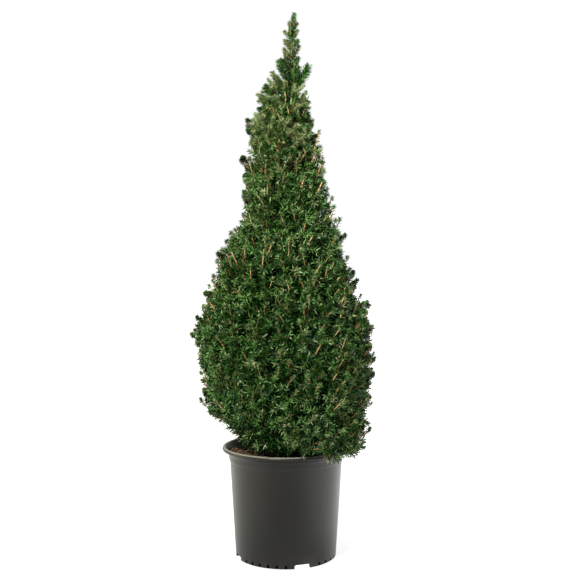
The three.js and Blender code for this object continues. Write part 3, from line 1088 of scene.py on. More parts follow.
def curve(sticks: Sequence[Stick], which: np.ndarray, share: np.ndarray) -> tuple[np.ndarray, np.ndarray]:
    """Points along many twigs at once.

    Args:
        sticks: The twigs.
        which: The number of each point's twig.
        share: Each point's share of its twig.

    Returns:
        The points, and the directions there.
    """
    ends = (np.array([getattr(stick, end) for stick in sticks]) for end in ("root", "bend", "tip"))
    root, bend, tip = (rows[which] for rows in ends)
    ahead = share[:, None]
    back = 1 - ahead
    points = back * back * root + 2 * back * ahead * bend + ahead * ahead * tip
    return points, unit_rows(back * (bend - root) + ahead * (tip - bend))


@dataclass
class Crown:
    """The foliage: twigs that branch on by the crown's rule, and their needles and buds.

    Sizes are in millimetres, tilts and the spread of side shoots in degrees, and other turns in radians.
    """

    rule: CrownRule

    # How many twigs there are, and how evenly their tips are spread.
    face_per_branch: float = 1150.0
    upper_branches: float = 0.5
    inner_share: float = 0.6
    spur_share: float = 0.8
    knob_share: float = 0.22
    face_per_gap: float = 190.0
    upper_gaps: float = 0.75
    step_across: float = 0.7548776662
    step_up: float = 0.569840291

    # How far tips stand inside the outline, below 0 for outside it, and how far they may reach.
    sunk: float = 7.0
    inner_sunk: Spread = (26.0, 80.0)
    branch_depth: Spread = (-7.0, 16.0)
    gap_depth: Spread = (6.0, 12.0)
    furthest_out: float = 2.0
    spur_out: float = -9.0
    knob_out: float = -17.0
    widest: float = 191.0
    deepest: float = 186.0
    mingle: float = 26.0
    tip_room: float = 4.0
    slim_from: int = 4
    slim: float = 3.0
    slimmer: float = 1.3

    # Branches and their side shoots.
    stem_length: float = 30.0
    coarse_half: float = 0.88
    reach: float = 0.42
    upper_reach: float = 0.3
    root_inward: float = 0.7
    clothed: float = 62.0
    side_step: float = 12.5
    side_first: Spread = (1.3, 0.4)
    side_last: float = 96.0
    side_foot: float = 6.0
    side_least: float = 17.0
    side_growth: float = 0.34
    side_most: float = 42.0
    side_spread: Spread = (38.0, 14.0)
    twin_least: float = 28.0
    twin_fork: float = 0.45
    twin_share: float = 0.6
    twin_turn: float = 2.0
    droop: float = 0.06

    # Twigs that fill the gaps.
    gap: float = 10.0
    gap_reach: float = 85.0
    gap_least: float = 14.0
    gap_clothed: float = 44.0
    gap_arch: float = 0.12

    # Bare spurs.
    spur_back: Spread = (9.0, 20.0)
    spur_length: Spread = (28.0, 32.0)
    spur_thick: Spread = (0.9, 0.7)
    spur_stout: float = 0.6
    spur_tuft: float = 9.0
    spur_tuft_needles: int = 24
    spur_needle: float = 8.5
    spur_long_needle: float = 11.0
    spur_needles_per_mm: float = 0.4
    spur_buds: tuple[float, ...] = (0.35, 0.55, 0.75)

    # Blunt knobs.
    knob_rise: Spread = (0.6, 0.7)
    knob_length: Spread = (24.0, 20.0)
    knob_head: float = 11.0
    knob_head_needle: float = 7.5
    knob_head_needles: int = 44
    knob_needle: float = 8.5
    knob_needles_per_mm: float = 1.1
    knob_light: float = 0.45

    # Needles, their darker and lighter shares, and the buds near the outline.
    needle: float = 13.5
    upper_needle: float = 2.5
    needle_width: float = 2.2
    needle_height: float = 1.2
    needle_usual: float = 11.0
    needles_per_mm: float = 0.74
    fewest_needles: int = 6
    tilt: float = 60.0
    upper_tilt: float = 24.0
    bud_depth: float = 18.0
    tan_buds: float = 0.2
    darker: float = 0.42
    lighter: float = 0.80

    # Where shoots turn plump and upright, the core round the trunk, and the leader.
    plumes_from: float = 740.0
    plumes_over: float = 260.0
    core_foot: float = 262.0
    core_step: float = 2.6
    core_reach: float = 0.62
    core_rise: float = 0.45
    core_needle: float = 19.0
    core_needles_per_mm: float = 0.6
    core_dark_under: float = 800.0
    leader_bend: float = 7.0
    whorls: int = 6
    whorl_shoots: int = 5
    whorl_foot: float = 1040.0
    whorl_rise: float = 110.0
    whorl_length: float = 36.0
    whorl_shorter: float = 21.0
    whorl_needle: float = 10.5
    whorl_shorter_needle: float = 3.0

    # What has grown.
    sticks: list[Stick] = field(default_factory=list)
    shoots: dict[str, list[Shoot]] = field(default_factory=dict)
    buds: list[tuple[Vector, Vector, float, Bud]] = field(default_factory=list)

    def grow(self) -> None:
        """Grows every mass and the leader."""
        for space in self.rule.spaces():
            self._grow_mass(space)
        self._grow_core()
        self._grow_leader()

    def _grow_mass(self, space: Space) -> None:
        """Grows the twigs of one mass.

        Args:
            space: The mass's space.
        """
        rule = self.rule
        coarse, fine = Chance(space.seed), Chance(space.seed + 900)
        starts = (coarse.next(), coarse.next())
        entry = rule.entry(space)
        stem_root = rule.place(space, 0, entry, 0.5) if space.under.limb else rule.on_trunk(space, 0)
        stem_tip = rule.place(space, 0, entry + self.stem_length, 0.5)
        self.sticks.append(Stick(stem_root, stem_root.lerp(stem_tip, 0.5), stem_tip, 3.4, 2.2, Twig.OLD))
        outer = self._branches(space)
        branches: list[Stick] = []
        for number in range(round(outer * (1 + self.inner_share))):
            sunk = self.sunk + self._slim(space)
            # Branches past the outer ones end deep inside the crown, where their dark needles stand partly as
            # inner foliage and partly as painted shade.
            if number >= outer:
                sunk = self.inner_sunk[0] + self.inner_sunk[1] * fine.next() ** 1.5
            branch, roll = self._branch(space, number, starts, coarse, sunk)
            branches.append(branch)
            self._clothe(space, branch, roll, fine)
            if number < outer and fine.next() < self.spur_share:
                self._add_spur(space, branch, roll, fine)
            if number < outer and fine.next() < self.knob_share * (1 + self._upper(branch.tip.z)):
                self._add_knobs(space, branch, fine)
        self._fill_gaps(space, branches, starts, fine)

    def _upper(self, height: float) -> float:
        """From 0 to 1, how much a shoot at a height is one of the plump upright ones near the top."""
        return risen(height, self.plumes_from, self.plumes_over)

    def _slim(self, space: Space) -> float:
        """How much further in the branches of a mass end, more and more near the top."""
        base = self.slim if space.tier >= self.slim_from else 0
        return base + self.slimmer * max(0, space.tier - self.slim_from) ** 2

    def _face(self, space: Space) -> float:
        """The area of the face that a mass shows.

        Args:
            space: The mass's space.

        Returns:
            The area.
        """
        foot, middle, head = (self.rule.surface(space, 0, share, 0) for share in (0.0, 0.5, 1.0))
        wide = 2 * space.half * self.rule.from_axis(middle)
        return wide * ((head - middle).length + (middle - foot).length)

    def _branches(self, space: Space) -> int:
        """How many branches a mass needs for the face that it shows."""
        dense = 1 + self.upper_branches * self._upper(space.over.base)
        return max(space.under.coarse, round(self._face(space) * dense / self.face_per_branch))

    def _add_shoots(self, tier: int, *shoots: Shoot) -> None:
        """Adds shoots to a tier."""
        self.shoots.setdefault(f"tier{tier}", []).extend(shoots)

    @staticmethod
    def _clothed(shoots: Sequence[Shoot]) -> np.ndarray:
        """Points on the stretches of twigs that have needles.

        Args:
            shoots: The needles of the twigs.

        Returns:
            The points, as rows.
        """
        shares = (0.2, 0.6, 1.0)
        spots = [(shoot, shoot.starts + (1 - shoot.starts) * share) for shoot in shoots for share in shares]
        return np.array([shoot.stick.at(share) for shoot, share in spots])

    def _fill_gaps(
        self, space: Space, branches: Sequence[Stick], starts: tuple[float, float], chance: Chance
    ) -> None:
        """Grows a twig from the nearest branch to each place near the outline that no needles reach.

        Args:
            space: The mass's space.
            branches: The mass's branches.
            starts: Where the even spread of the places starts.
            chance: The source of its variations.
        """
        shoots = self.shoots[f"tier{space.tier}"]
        reached = self._clothed(shoots)
        forks = [(branch, share) for branch in branches for share in (0.3, 0.5, 0.7, 0.85)]
        roots = np.array([branch.at(share) for branch, share in forks])
        fewer = 1 - self.upper_gaps * self._upper(space.over.base)
        for number in range(round(self._face(space) * fewer / self.face_per_gap)):
            across = 2 * ((starts[1] + self.step_across * number) % 1) - 1
            upward = (starts[0] + self.step_up * number) % 1
            depth = chance.more(self.gap_depth)
            tip = self.rule.surface(space, across * space.half, 0.01 + 0.98 * upward, depth)
            place = np.array(tip)
            filled = np.min(np.sum((reached - place) ** 2, axis=1)) < self.gap**2
            if filled or not self.rule.holds(space, tip, self.mingle):
                continue
            away = np.linalg.norm(roots - place, axis=1)
            nearest = int(np.argmin(np.where(away < self.gap_least, math.inf, away)))
            if away[nearest] > self.gap_reach:
                continue
            branch, share = forks[nearest]
            root = branch.at(share)
            bend = root.lerp(tip, 0.5) + self.gap_arch * float(away[nearest]) * branch.heading(share)
            twig = Stick(root, bend, tip, 1.1, 0.7, Twig.LEAFY)
            self._needle(space, twig, chance, 1.1, max(0.0, 1 - self.gap_clothed / twig.length))
            reached = np.concatenate([reached, self._clothed(shoots[-1:])])

    def _branch(
        self, space: Space, number: int, starts: tuple[float, float], chance: Chance, sunk: float
    ) -> tuple[Stick, float]:
        """One branch of a mass, from its fork on the stem to the outline.

        Args:
            space: The mass's space.
            number: The branch's number.
            starts: Where the even spread of the tips starts.
            chance: The mass's own chance.
            sunk: How much deeper its tip lies than those of the solids.

        Returns:
            The branch, and the turn of its first side shoot.
        """
        rule = self.rule
        across = 2 * ((starts[0] + self.step_across * (number + 1)) % 1) - 1
        upward = (starts[1] + self.step_up * (number + 1)) % 1
        depth = chance.more(self.branch_depth)
        roll = chance.next() * math.pi
        chance.next()  # the solids' rule draws once more here, for the lift of its sprays
        offset = across * space.half * (self.coarse_half if number < space.under.coarse else 1.0)
        tip = rule.surface(space, offset, 0.02 + 0.96 * upward, depth + sunk)
        tip.y = clamp(tip.y, -self.deepest, self.deepest)
        tip.z = max(tip.z, rule.lowest(rule.from_axis(tip), rule.azimuth(tip)) + self.tip_room)
        upper = self._upper(tip.z)
        reach = rule.from_axis(tip) * (self.reach + self.upper_reach * upper)
        root_radius = rule.from_axis(tip) - reach
        root = rule.place(space, offset * self.root_inward, root_radius, 0.5)
        droop = rule.lobe_droop * rule.lobe(space.azimuth + offset) * rule.skirt(tip.z)
        lowest, highest = (rule.place(space, 0, root_radius, share).z for share in (0.25, 0.75))
        root.z = clamp(tip.z - reach * (space.under.climb - droop), lowest, highest)
        fork = rule.place(space, 0, rule.entry(space) + rule.inset + 0.2 * reach, 0.5)
        self.sticks.append(Stick(fork, fork.lerp(root, 0.5), root, 2.4, 2.0, Twig.OLD))
        outward = (tip - rule.axis(tip.z)).normalized()
        sag = up((0.08 + 0.3 * upper) * reach)
        bend = root.lerp(tip, 0.55) - sag + 0.2 * upper * reach * outward
        if upper > 0.3:
            return Stick(root, bend, tip, 2.1, 1.4, Twig.YOUNG if chance.next() < 0.3 else Twig.BROWN), roll
        return Stick(root, bend, tip, 1.8, 0.9, Twig.LEAFY), roll

    def _clothe(self, space: Space, branch: Stick, roll: float, chance: Chance) -> None:
        """Adds a branch's needles and its side shoots.

        Args:
            space: The mass's space.
            branch: The branch.
            roll: The turn of its first side shoot.
            chance: The source of its variations.
        """
        length, upper = branch.length, self._upper(branch.tip.z)
        self._needle(space, branch, chance, 0.8, max(0.0, 1 - self.clothed / length))
        back = self.side_step * chance.more(self.side_first)
        turn = roll
        while back < min(length - self.side_foot, self.side_last):
            size = min(self.side_most, self.side_least + self.side_growth * back) * chance.varied(0.2)
            size *= 1 - 0.3 * upper
            side = self._side(space, branch, 1 - back / length, size, turn, chance)
            if side:
                self._needle(space, side, chance)
                if side.length > self.twin_least:
                    size = self.twin_share * side.length
                    twin = self._side(space, side, self.twin_fork, size, turn + self.twin_turn, chance)
                    if twin:
                        self._needle(space, twin, chance)
            turn += GOLDEN_ANGLE
            back += self.side_step * (1 + 0.9 * upper) * chance.varied(0.25)

    def _stands(self, space: Space, tip: Vector, depth: float) -> bool:
        """Whether a tip that may leave the crown is in reach and past a depth, below 0 for outside."""
        near = self.rule.from_axis(tip) < self.widest and abs(tip.y) < self.deepest
        return near and self.rule.depth(tip) > depth and self.rule.holds(space, tip, 2 * self.mingle)

    def _add_spur(self, space: Space, branch: Stick, roll: float, chance: Chance) -> None:
        """Adds a bare young twig that stands out of a branch and has needles mostly at its tip.

        Args:
            space: The mass's space.
            branch: The branch.
            roll: A turn round the branch.
            chance: The source of its variations.
        """
        back = chance.more(self.spur_back)
        if branch.length < back + 10:
            return
        root = branch.at(1 - back / branch.length)
        upper = self._upper(root.z)
        outward, level = self._outward(root)
        tangent = level * (0.9 * math.cos(roll * 2))
        upward = 0.25 + 0.75 * risen(root.z, 270, 150)
        heading = 0.25 * branch.heading(1) + 0.45 * outward + tangent * 0.6 + up(upward)
        heading = heading.normalized()
        length = chance.more(self.spur_length) * (1 - 0.25 * risen(root.z, 800, 300))
        tip = root + length * heading
        for _ in range(5):
            if self._stands(space, tip, self.spur_out):
                break
            length *= 0.8
            tip = root + length * heading
        else:
            return
        sway = level * (0.16 * chance.signed())
        bend = root.lerp(tip, 0.5) + length * (0.1 * outward + sway)
        thick = chance.more(self.spur_thick) * (1 + self.spur_stout * upper)
        spur = Stick(root, bend, tip, thick, 0.7 * thick, Twig.YOUNG if chance.next() < 0.6 else Twig.BROWN)
        tuft = Needle.BRIGHT if chance.next() < 0.6 else Needle.FRESH
        self.sticks.append(spur)
        starts = max(0.0, 1 - self.spur_tuft / spur.length)
        needle = self.spur_needle * chance.varied()
        ends = Shoot(spur, needle, self.spur_tuft_needles, tuft, tuft, starts, 60, 1.3)
        some = round((self.spur_needles_per_mm - 0.15 * upper) * spur.length)
        along = Shoot(spur, self.spur_long_needle * chance.varied(), some, Needle.MIDDLE, tuft, 0.05)
        self._add_shoots(space.tier, ends, along)
        self.buds.append((tip, spur.heading(1), 1.0, Bud.TAN))
        for share in self.spur_buds:
            way = spur.heading(share)
            aside = way.orthogonal() * math.cos(9 * share) + 0.6 * outward
            self.buds.append((spur.at(share) + thick * aside.normalized(), way, 0.8, Bud.BROWN))

    def _outward(self, point: Vector) -> tuple[Vector, Vector]:
        """The way out from the trunk's axis at a point, and the level way across it."""
        outward = (point - self.rule.axis(point.z)).normalized()
        return outward, Vector((-outward.y, outward.x, 0))

    def _add_knobs(self, space: Space, branch: Stick, chance: Chance) -> None:
        """Adds two or three blunt upright shoots that stand out of the outline round the end of a branch.

        Args:
            space: The mass's space.
            branch: The branch.
            chance: The source of its variations.
        """
        upper = self._upper(branch.tip.z)
        turn = 2 * math.pi * chance.next()
        for number in range(3 if chance.next() < 0.5 else 2):
            root = branch.at(0.92 - 0.13 * number)
            outward, level = self._outward(root)
            aside = level * (0.6 * math.cos(turn + 2.1 * number))
            heading = (0.9 * outward + aside + up(chance.more(self.knob_rise))).normalized()
            length = chance.more(self.knob_length) * (1 - 0.3 * upper)
            for _ in range(4):
                tip = root + length * heading
                if self._stands(space, tip, self.knob_out * (1 - 0.25 * upper)):
                    break
                length *= 0.85
            knob = Stick(root, root.lerp(tip, 0.5) + 0.2 * length * outward, tip, 1.5, 1.1, Twig.BROWN)
            self.sticks.append(knob)
            light = upper * chance.next() > self.knob_light
            body = Needle.SHADE if chance.next() < 0.5 - 0.4 * upper else Needle.MIDDLE
            body = Needle.PALE if light else body
            starts = max(0.0, 1 - self.knob_head / knob.length)
            head = Shoot(knob, self.knob_head_needle, self.knob_head_needles, body, body, starts, 82, 1.9)
            count = round(self.knob_needles_per_mm * length)
            self._add_shoots(space.tier, head, Shoot(knob, self.knob_needle, count, body, body, 0.3, 60, 1.4))
            self.buds.append((tip, knob.heading(1), 1.2, Bud.BROWN))

    def _side(
        self, space: Space, parent: Stick, share: float, size: float, turn: float, chance: Chance
    ) -> Stick | None:
        """A side shoot that stays in its space, or none.

        Args:
            space: The mass's space.
            parent: The twig that it branches from.
            share: Where on that twig it stands.
            size: Its length.
            turn: Its angle round the twig.
            chance: The source of its variations.

        Returns:
            The side shoot, unless no turn or size of it stays inside.
        """
        root, along = parent.at(share), parent.heading(share)
        across = along.orthogonal().normalized()
        upward = along.cross(across)
        upper = self._upper(root.z)
        least, added = self.side_spread
        spread = math.radians(least - 8 * upper + added * chance.next())
        rising = up(0.2 + 0.5 * risen(root.z, 300, 600) + 0.5 * upper)
        inside = self.furthest_out + 0.5 * self._slim(space)
        for attempt, shorter in enumerate((1, 1, 0.8, 0.6)):
            angle = turn + attempt * 1.9
            out = across * math.cos(angle) + upward * math.sin(angle)
            heading = along * math.cos(spread) + out * math.sin(spread) + rising
            length = size * shorter
            tip = root + heading.normalized() * length
            if abs(tip.y) >= self.deepest or self.rule.depth(tip) <= inside:
                continue
            if self.rule.holds(space, tip, self.mingle):
                bend = root.lerp(tip, 0.5) - up(self.droop * length)
                bark = Twig.BROWN if chance.next() < 0.9 * upper else Twig.LEAFY
                return Stick(root, bend, tip, 1.1 + 0.5 * upper, 0.7 + 0.6 * upper, bark)
        return None

    def _needle(
        self, space: Space, stick: Stick, chance: Chance, dense: float = 1.0, starts: float = 0.0
    ) -> None:
        """Puts needles and a bud on a twig.

        Args:
            space: The mass's space.
            stick: The twig.
            chance: The source of its variations.
            dense: How close its needles stand.
            starts: The share of the twig at which they start.
        """
        self.sticks.append(stick)
        depth = self.rule.depth(stick.tip)
        body, tuft = self._greens(depth, stick.tip.z, chance)
        upper = self._upper(stick.tip.z)
        inner = risen(depth, 26, 30)
        needle = (self.needle - self.upper_needle * upper) * chance.varied(0.1) * (1 + 0.3 * inner)
        dense = self.needles_per_mm * dense * (1 - 0.45 * inner) * (1 + 1.3 * upper)
        count = max(self.fewest_needles, round(stick.length * (1 - starts) * dense))
        tilt = self.tilt - self.upper_tilt * upper
        self._add_shoots(space.tier, Shoot(stick, needle, count, body, tuft, starts, tilt))
        if depth < self.bud_depth:
            kind = Bud.TAN if chance.next() < self.tan_buds else Bud.BROWN
            self.buds.append((stick.tip, stick.heading(1), chance.varied(), kind))

    @staticmethod
    def _greens(depth: float, height: float, chance: Chance) -> tuple[Needle, Needle]:
        """The greens of one spray.

        Args:
            depth: How far its tip lies inside the outline.
            height: Its height.
            chance: The source of its variations.

        Returns:
            The green of its needles, and that of the tuft at its tip.
        """
        pale = risen(height, 790, 150)
        fresh = risen(height, 560, 160) * (1 - pale)
        # Sprays deep inside the crown take the deep and shade greens: partly older needles' own colour,
        # partly painted shade.
        inner = risen(depth, 12, 40)
        # Painted light: sprays low on the crown take lighter greens more often, to lift its shaded underside.
        low = fallen(height, 350, 80)
        middle = risen(height, 330, 60) * fallen(height, 760, 90)
        choices = (
            (Needle.DEEP, 0.9 * inner**1.5 * (1 - 0.6 * pale)),
            (Needle.SHADE, (0.12 + 0.4 * middle + 0.7 * inner) * (1 - 0.8 * pale)),
            (Needle.MIDDLE, (0.5 - 0.3 * inner) * (1 - 0.6 * pale)),
            (Needle.BLUISH, (0.26 - 0.2 * inner) * (1 - 0.7 * pale)),
            (Needle.FRESH, (0.28 + 0.6 * low + 0.9 * fresh) * (1 - inner)),
            (Needle.PALE, (0.04 + 1.3 * pale + 0.06 * low + 0.05 * fresh) * (1 - 0.6 * inner)),
            (Needle.SILVER, 0.8 * pale * pale * (1 - 0.6 * inner)),
        )
        body = chance.pick(choices)
        lively = chance.next()
        if depth < 12 and lively < 0.15:
            return body, Needle.BRIGHT
        if depth < 20 and lively < 0.5:
            return body, Needle.PALE if pale > 0.5 else Needle.FRESH
        return body, body

    def _grow_core(self) -> None:
        """Grows the short dark twigs that stand straight on the trunk, all the way up. Below a height their
        long needles are the shade green, which is partly painted shade round the trunk.
        """
        rule, chance = self.rule, Chance(77)
        height, azimuth = self.core_foot, 0.0
        while height < rule.trunk_tip - 20:
            reach = self.core_reach * rule.radius(height + 30, azimuth) * chance.varied(0.25)
            out = level_way(azimuth)
            root = rule.axis(height) + rule.trunk_radius(height) * 0.8 * out
            tip = root + reach * out + up(self.core_rise * reach)
            bend = root.lerp(tip, 0.5) - up(self.droop * reach)
            twig = Stick(root, bend, tip, 1.6, 0.9, Twig.OLD)
            self.sticks.append(twig)
            tier = sum(1 for under in rule.tiers[:-1] if under.base + under.rise * reach < tip.z)
            green = Needle.SHADE if height < self.core_dark_under or chance.next() < 0.4 else Needle.FRESH
            count = round(self.core_needles_per_mm * twig.length)
            self._add_shoots(max(1, tier), Shoot(twig, self.core_needle, count, green, green, 0.2))
            height += self.core_step * chance.varied(0.2)
            azimuth += GOLDEN_ANGLE

    def _grow_leader(self) -> None:
        """Grows the shoot at the very top, with its long shoots and its whorls of short ones."""
        rule, chance = self.rule, Chance(90)
        foot, top = rule.axis(rule.trunk_tip + rule.touch), rule.axis(rule.top)
        top.x += self.leader_bend
        stem = Stick(foot, foot.lerp(top, 0.5) - Vector((self.leader_bend, 0, 0)), top, 2.6, 1.4, Twig.BROWN)
        self.sticks.append(stem)
        lower = Stick(foot, stem.at(0.42), stem.at(0.84), 2.6, 1.7, Twig.BROWN)
        self.shoots["leader"] = [
            Shoot(lower, 13.0, 360, Needle.MIDDLE, Needle.FRESH, 0.0, 62),
            Shoot(stem, 11.5, 260, Needle.FRESH, Needle.MIDDLE, 0.68, 62),
        ]
        for arm in LEADER_ARMS:
            fork = stem.at((arm.fork - foot.z) / (top.z - foot.z))
            azimuth, lean = math.radians(arm.azimuth), math.radians(arm.lean)
            self._plume(fork, azimuth, lean, arm.length, arm.needle, chance)
        for whorl in range(self.whorls):
            share = whorl / (self.whorls - 1)
            fork = stem.at((self.whorl_foot + self.whorl_rise * share - foot.z) / (top.z - foot.z))
            needle = self.whorl_needle - self.whorl_shorter_needle * share
            for number in range(self.whorl_shoots):
                turns = number + 0.37 * whorl + 0.25 * chance.next()
                length = (self.whorl_length - self.whorl_shorter * share) * chance.varied(0.2)
                azimuth = 2 * math.pi * turns / self.whorl_shoots
                self._plume(fork, azimuth, 0.7 * chance.varied(), length, needle, chance)
        self.buds.append((top, up(1), 1.2, Bud.TAN))

    def _plume(
        self, fork: Vector, azimuth: float, lean: float, length: float, needle: float, chance: Chance
    ) -> None:
        """Adds a plump upright shoot to the leader.

        Args:
            fork: Where it stands on the leader.
            azimuth: Which way it points.
            lean: How far it leans from upright.
            length: Its length.
            needle: The length of its needles.
            chance: The source of its variations.
        """
        out = level_way(azimuth)
        tip = fork + length * (out * math.sin(lean) + up(math.cos(lean)))
        bend = fork.lerp(tip, 0.5) + 0.14 * length * out
        bark = Twig.YOUNG if chance.next() < 0.4 else Twig.BROWN
        shoot = Stick(fork, bend, tip, 1.6, 1.2, bark)
        self.sticks.append(shoot)
        greens = (Needle.PALE, Needle.FRESH, Needle.MIDDLE, Needle.BLUISH)
        body = chance.pick([(green, 1 / len(greens)) for green in greens])
        count = round(2.5 * shoot.length) + 8
        self.shoots["leader"].append(Shoot(shoot, needle, count, body, body, 0.12, 56))
        self.buds.append((tip, shoot.heading(1), 1.1, Bud.BROWN))

    def build(self) -> None:
        """Makes the pieces: needles by tier, then all twigs, then all buds."""
        greens = materials_of(Needle)
        for key, shoots in self.shoots.items():
            prefix = f"foliage_{key}"
            nodes = [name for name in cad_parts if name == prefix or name.startswith(prefix + "_")]
            hand_over(self._needle_mesh(f"needles_{key}", shoots), nodes, greens)
        hand_over(self._twig_mesh(), (), materials_of(Twig))
        hand_over(self._bud_mesh(), (), materials_of(Bud))

    def _needle_mesh(self, name: str, shoots: Sequence[Shoot]) -> Piece:
        """Joins the needles of many shoots, each needle a slim four-faced blade that is keeled underneath.

        Args:
            name: The piece's name.
            shoots: The shoots.

        Returns:
            The piece.
        """
        random = np.random.default_rng(len(shoots))
        counts = np.array([shoot.count for shoot in shoots])
        which = np.repeat(np.arange(len(shoots)), counts)
        number = np.arange(len(which)) - np.repeat(np.cumsum(counts) - counts, counts)
        starts, tilt, length, wide = (
            np.array([getattr(shoot, size) for shoot in shoots])[which]
            for size in ("starts", "tilt", "needle", "wide")
        )
        share = starts + (1 - starts) * (number + random.uniform(0.35, 0.65, len(which))) / counts[which]
        points, along = curve([shoot.stick for shoot in shoots], which, share)
        across, upward = square_ways(along)
        angle = number * GOLDEN_ANGLE + which * 1.7 + random.uniform(-0.2, 0.2, len(which))
        out = across * np.cos(angle)[:, None] + upward * np.sin(angle)[:, None]
        forward = np.clip((share - 0.6) / 0.4, 0, 1) ** 2
        tilt = np.radians(tilt * (1 - 0.34 * forward) + random.uniform(-1, 1, len(which)) * (5 + 9 * forward))
        heading = along * np.cos(tilt)[:, None] + out * np.sin(tilt)[:, None]
        length = length * random.uniform(0.9, 1.1, len(which)) * (1 - 0.2 * forward)
        thick = np.array([shoot.stick.thin for shoot in shoots])[which]
        base = points + out * (0.6 * thick)[:, None]
        side = unit_rows(np.cross(along, heading))
        grown = (length / self.needle_usual)[:, None]
        keel = np.cross(heading, side) * self.needle_height * grown
        middle = base + heading * (0.4 * length)[:, None] + keel
        half = side * (0.5 * self.needle_width * wide)[:, None] * grown
        corners = (base, middle + half, middle - half, base + heading * length[:, None])
        pattern = ((0, 2, 1), (3, 1, 2), (0, 1, 3), (0, 3, 2))
        body, tuft = (indices([getattr(shoot, end) for shoot in shoots])[which] for end in ("body", "tuft"))
        tint = np.where(share > 0.8, tuft, body)
        # Some needles take the darker or the lighter green at random: their own differing tones, and painted
        # shade and painted highlight.
        lot = random.uniform(0, 1, len(which))
        darker, lighter = (indices(row)[tint] for row in zip(*NEIGHBOURS.values()))
        tint = np.where(lot < self.darker, darker, np.where(lot > self.lighter, lighter, tint))
        return repeated(name, corners, pattern, tint, False)

    def _twig_mesh(self) -> Piece:
        """Joins all twigs, each a three-sided rod that runs out to a point.

        Returns:
            The piece.
        """
        sides, stations = 3, (0.0, 0.45, 0.88)
        sticks = self.sticks
        every = np.arange(len(sticks))
        thick = np.array([stick.thick for stick in sticks])
        thin = np.array([stick.thin for stick in sticks])
        rows = []
        for station in stations:
            points, along = curve(sticks, every, np.full(len(sticks), station))
            across, upward = square_ways(along)
            radius = (thick + (thin - thick) * station)[:, None]
            for side in range(sides):
                turn = 2 * math.pi * side / sides
                rows.append(points + radius * (across * math.cos(turn) + upward * math.sin(turn)))
        rows.append(np.array([stick.tip for stick in sticks]))
        triangles = [tuple(range(sides))[::-1]]
        for ring in range(len(stations) - 1):
            for side in range(sides):
                one, two = ring * sides + side, ring * sides + (side + 1) % sides
                triangles += [(one, two, two + sides), (one, two + sides, one + sides)]
        last = (len(stations) - 1) * sides
        triangles += [(last + side, last + (side + 1) % sides, last + sides) for side in range(sides)]
        return repeated("twigs", rows, triangles, indices([stick.tint for stick in sticks]), True)

    def _bud_mesh(self) -> Piece:
        """Joins all buds, each a plump four-sided point.

        Returns:
            The piece.
        """
        ends, along, sizes, kinds = zip(*self.buds)
        ends, along, size = np.array(ends), unit_rows(np.array(along)), np.array(sizes)[:, None]
        across, upward = square_ways(along)
        middle = ends + along * 0.6 * size
        ring = [middle + 1.25 * size * way for way in (across, upward, -across, -upward)]
        corners = (ends - along * 1.5 * size, *ring, ends + along * 3.2 * size)
        pattern = [(0, (side + 1) % 4 + 1, side + 1) for side in range(4)]
        pattern += [(5, side + 1, (side + 1) % 4 + 1) for side in range(4)]
        return repeated("buds", corners, pattern, indices(kinds), True)


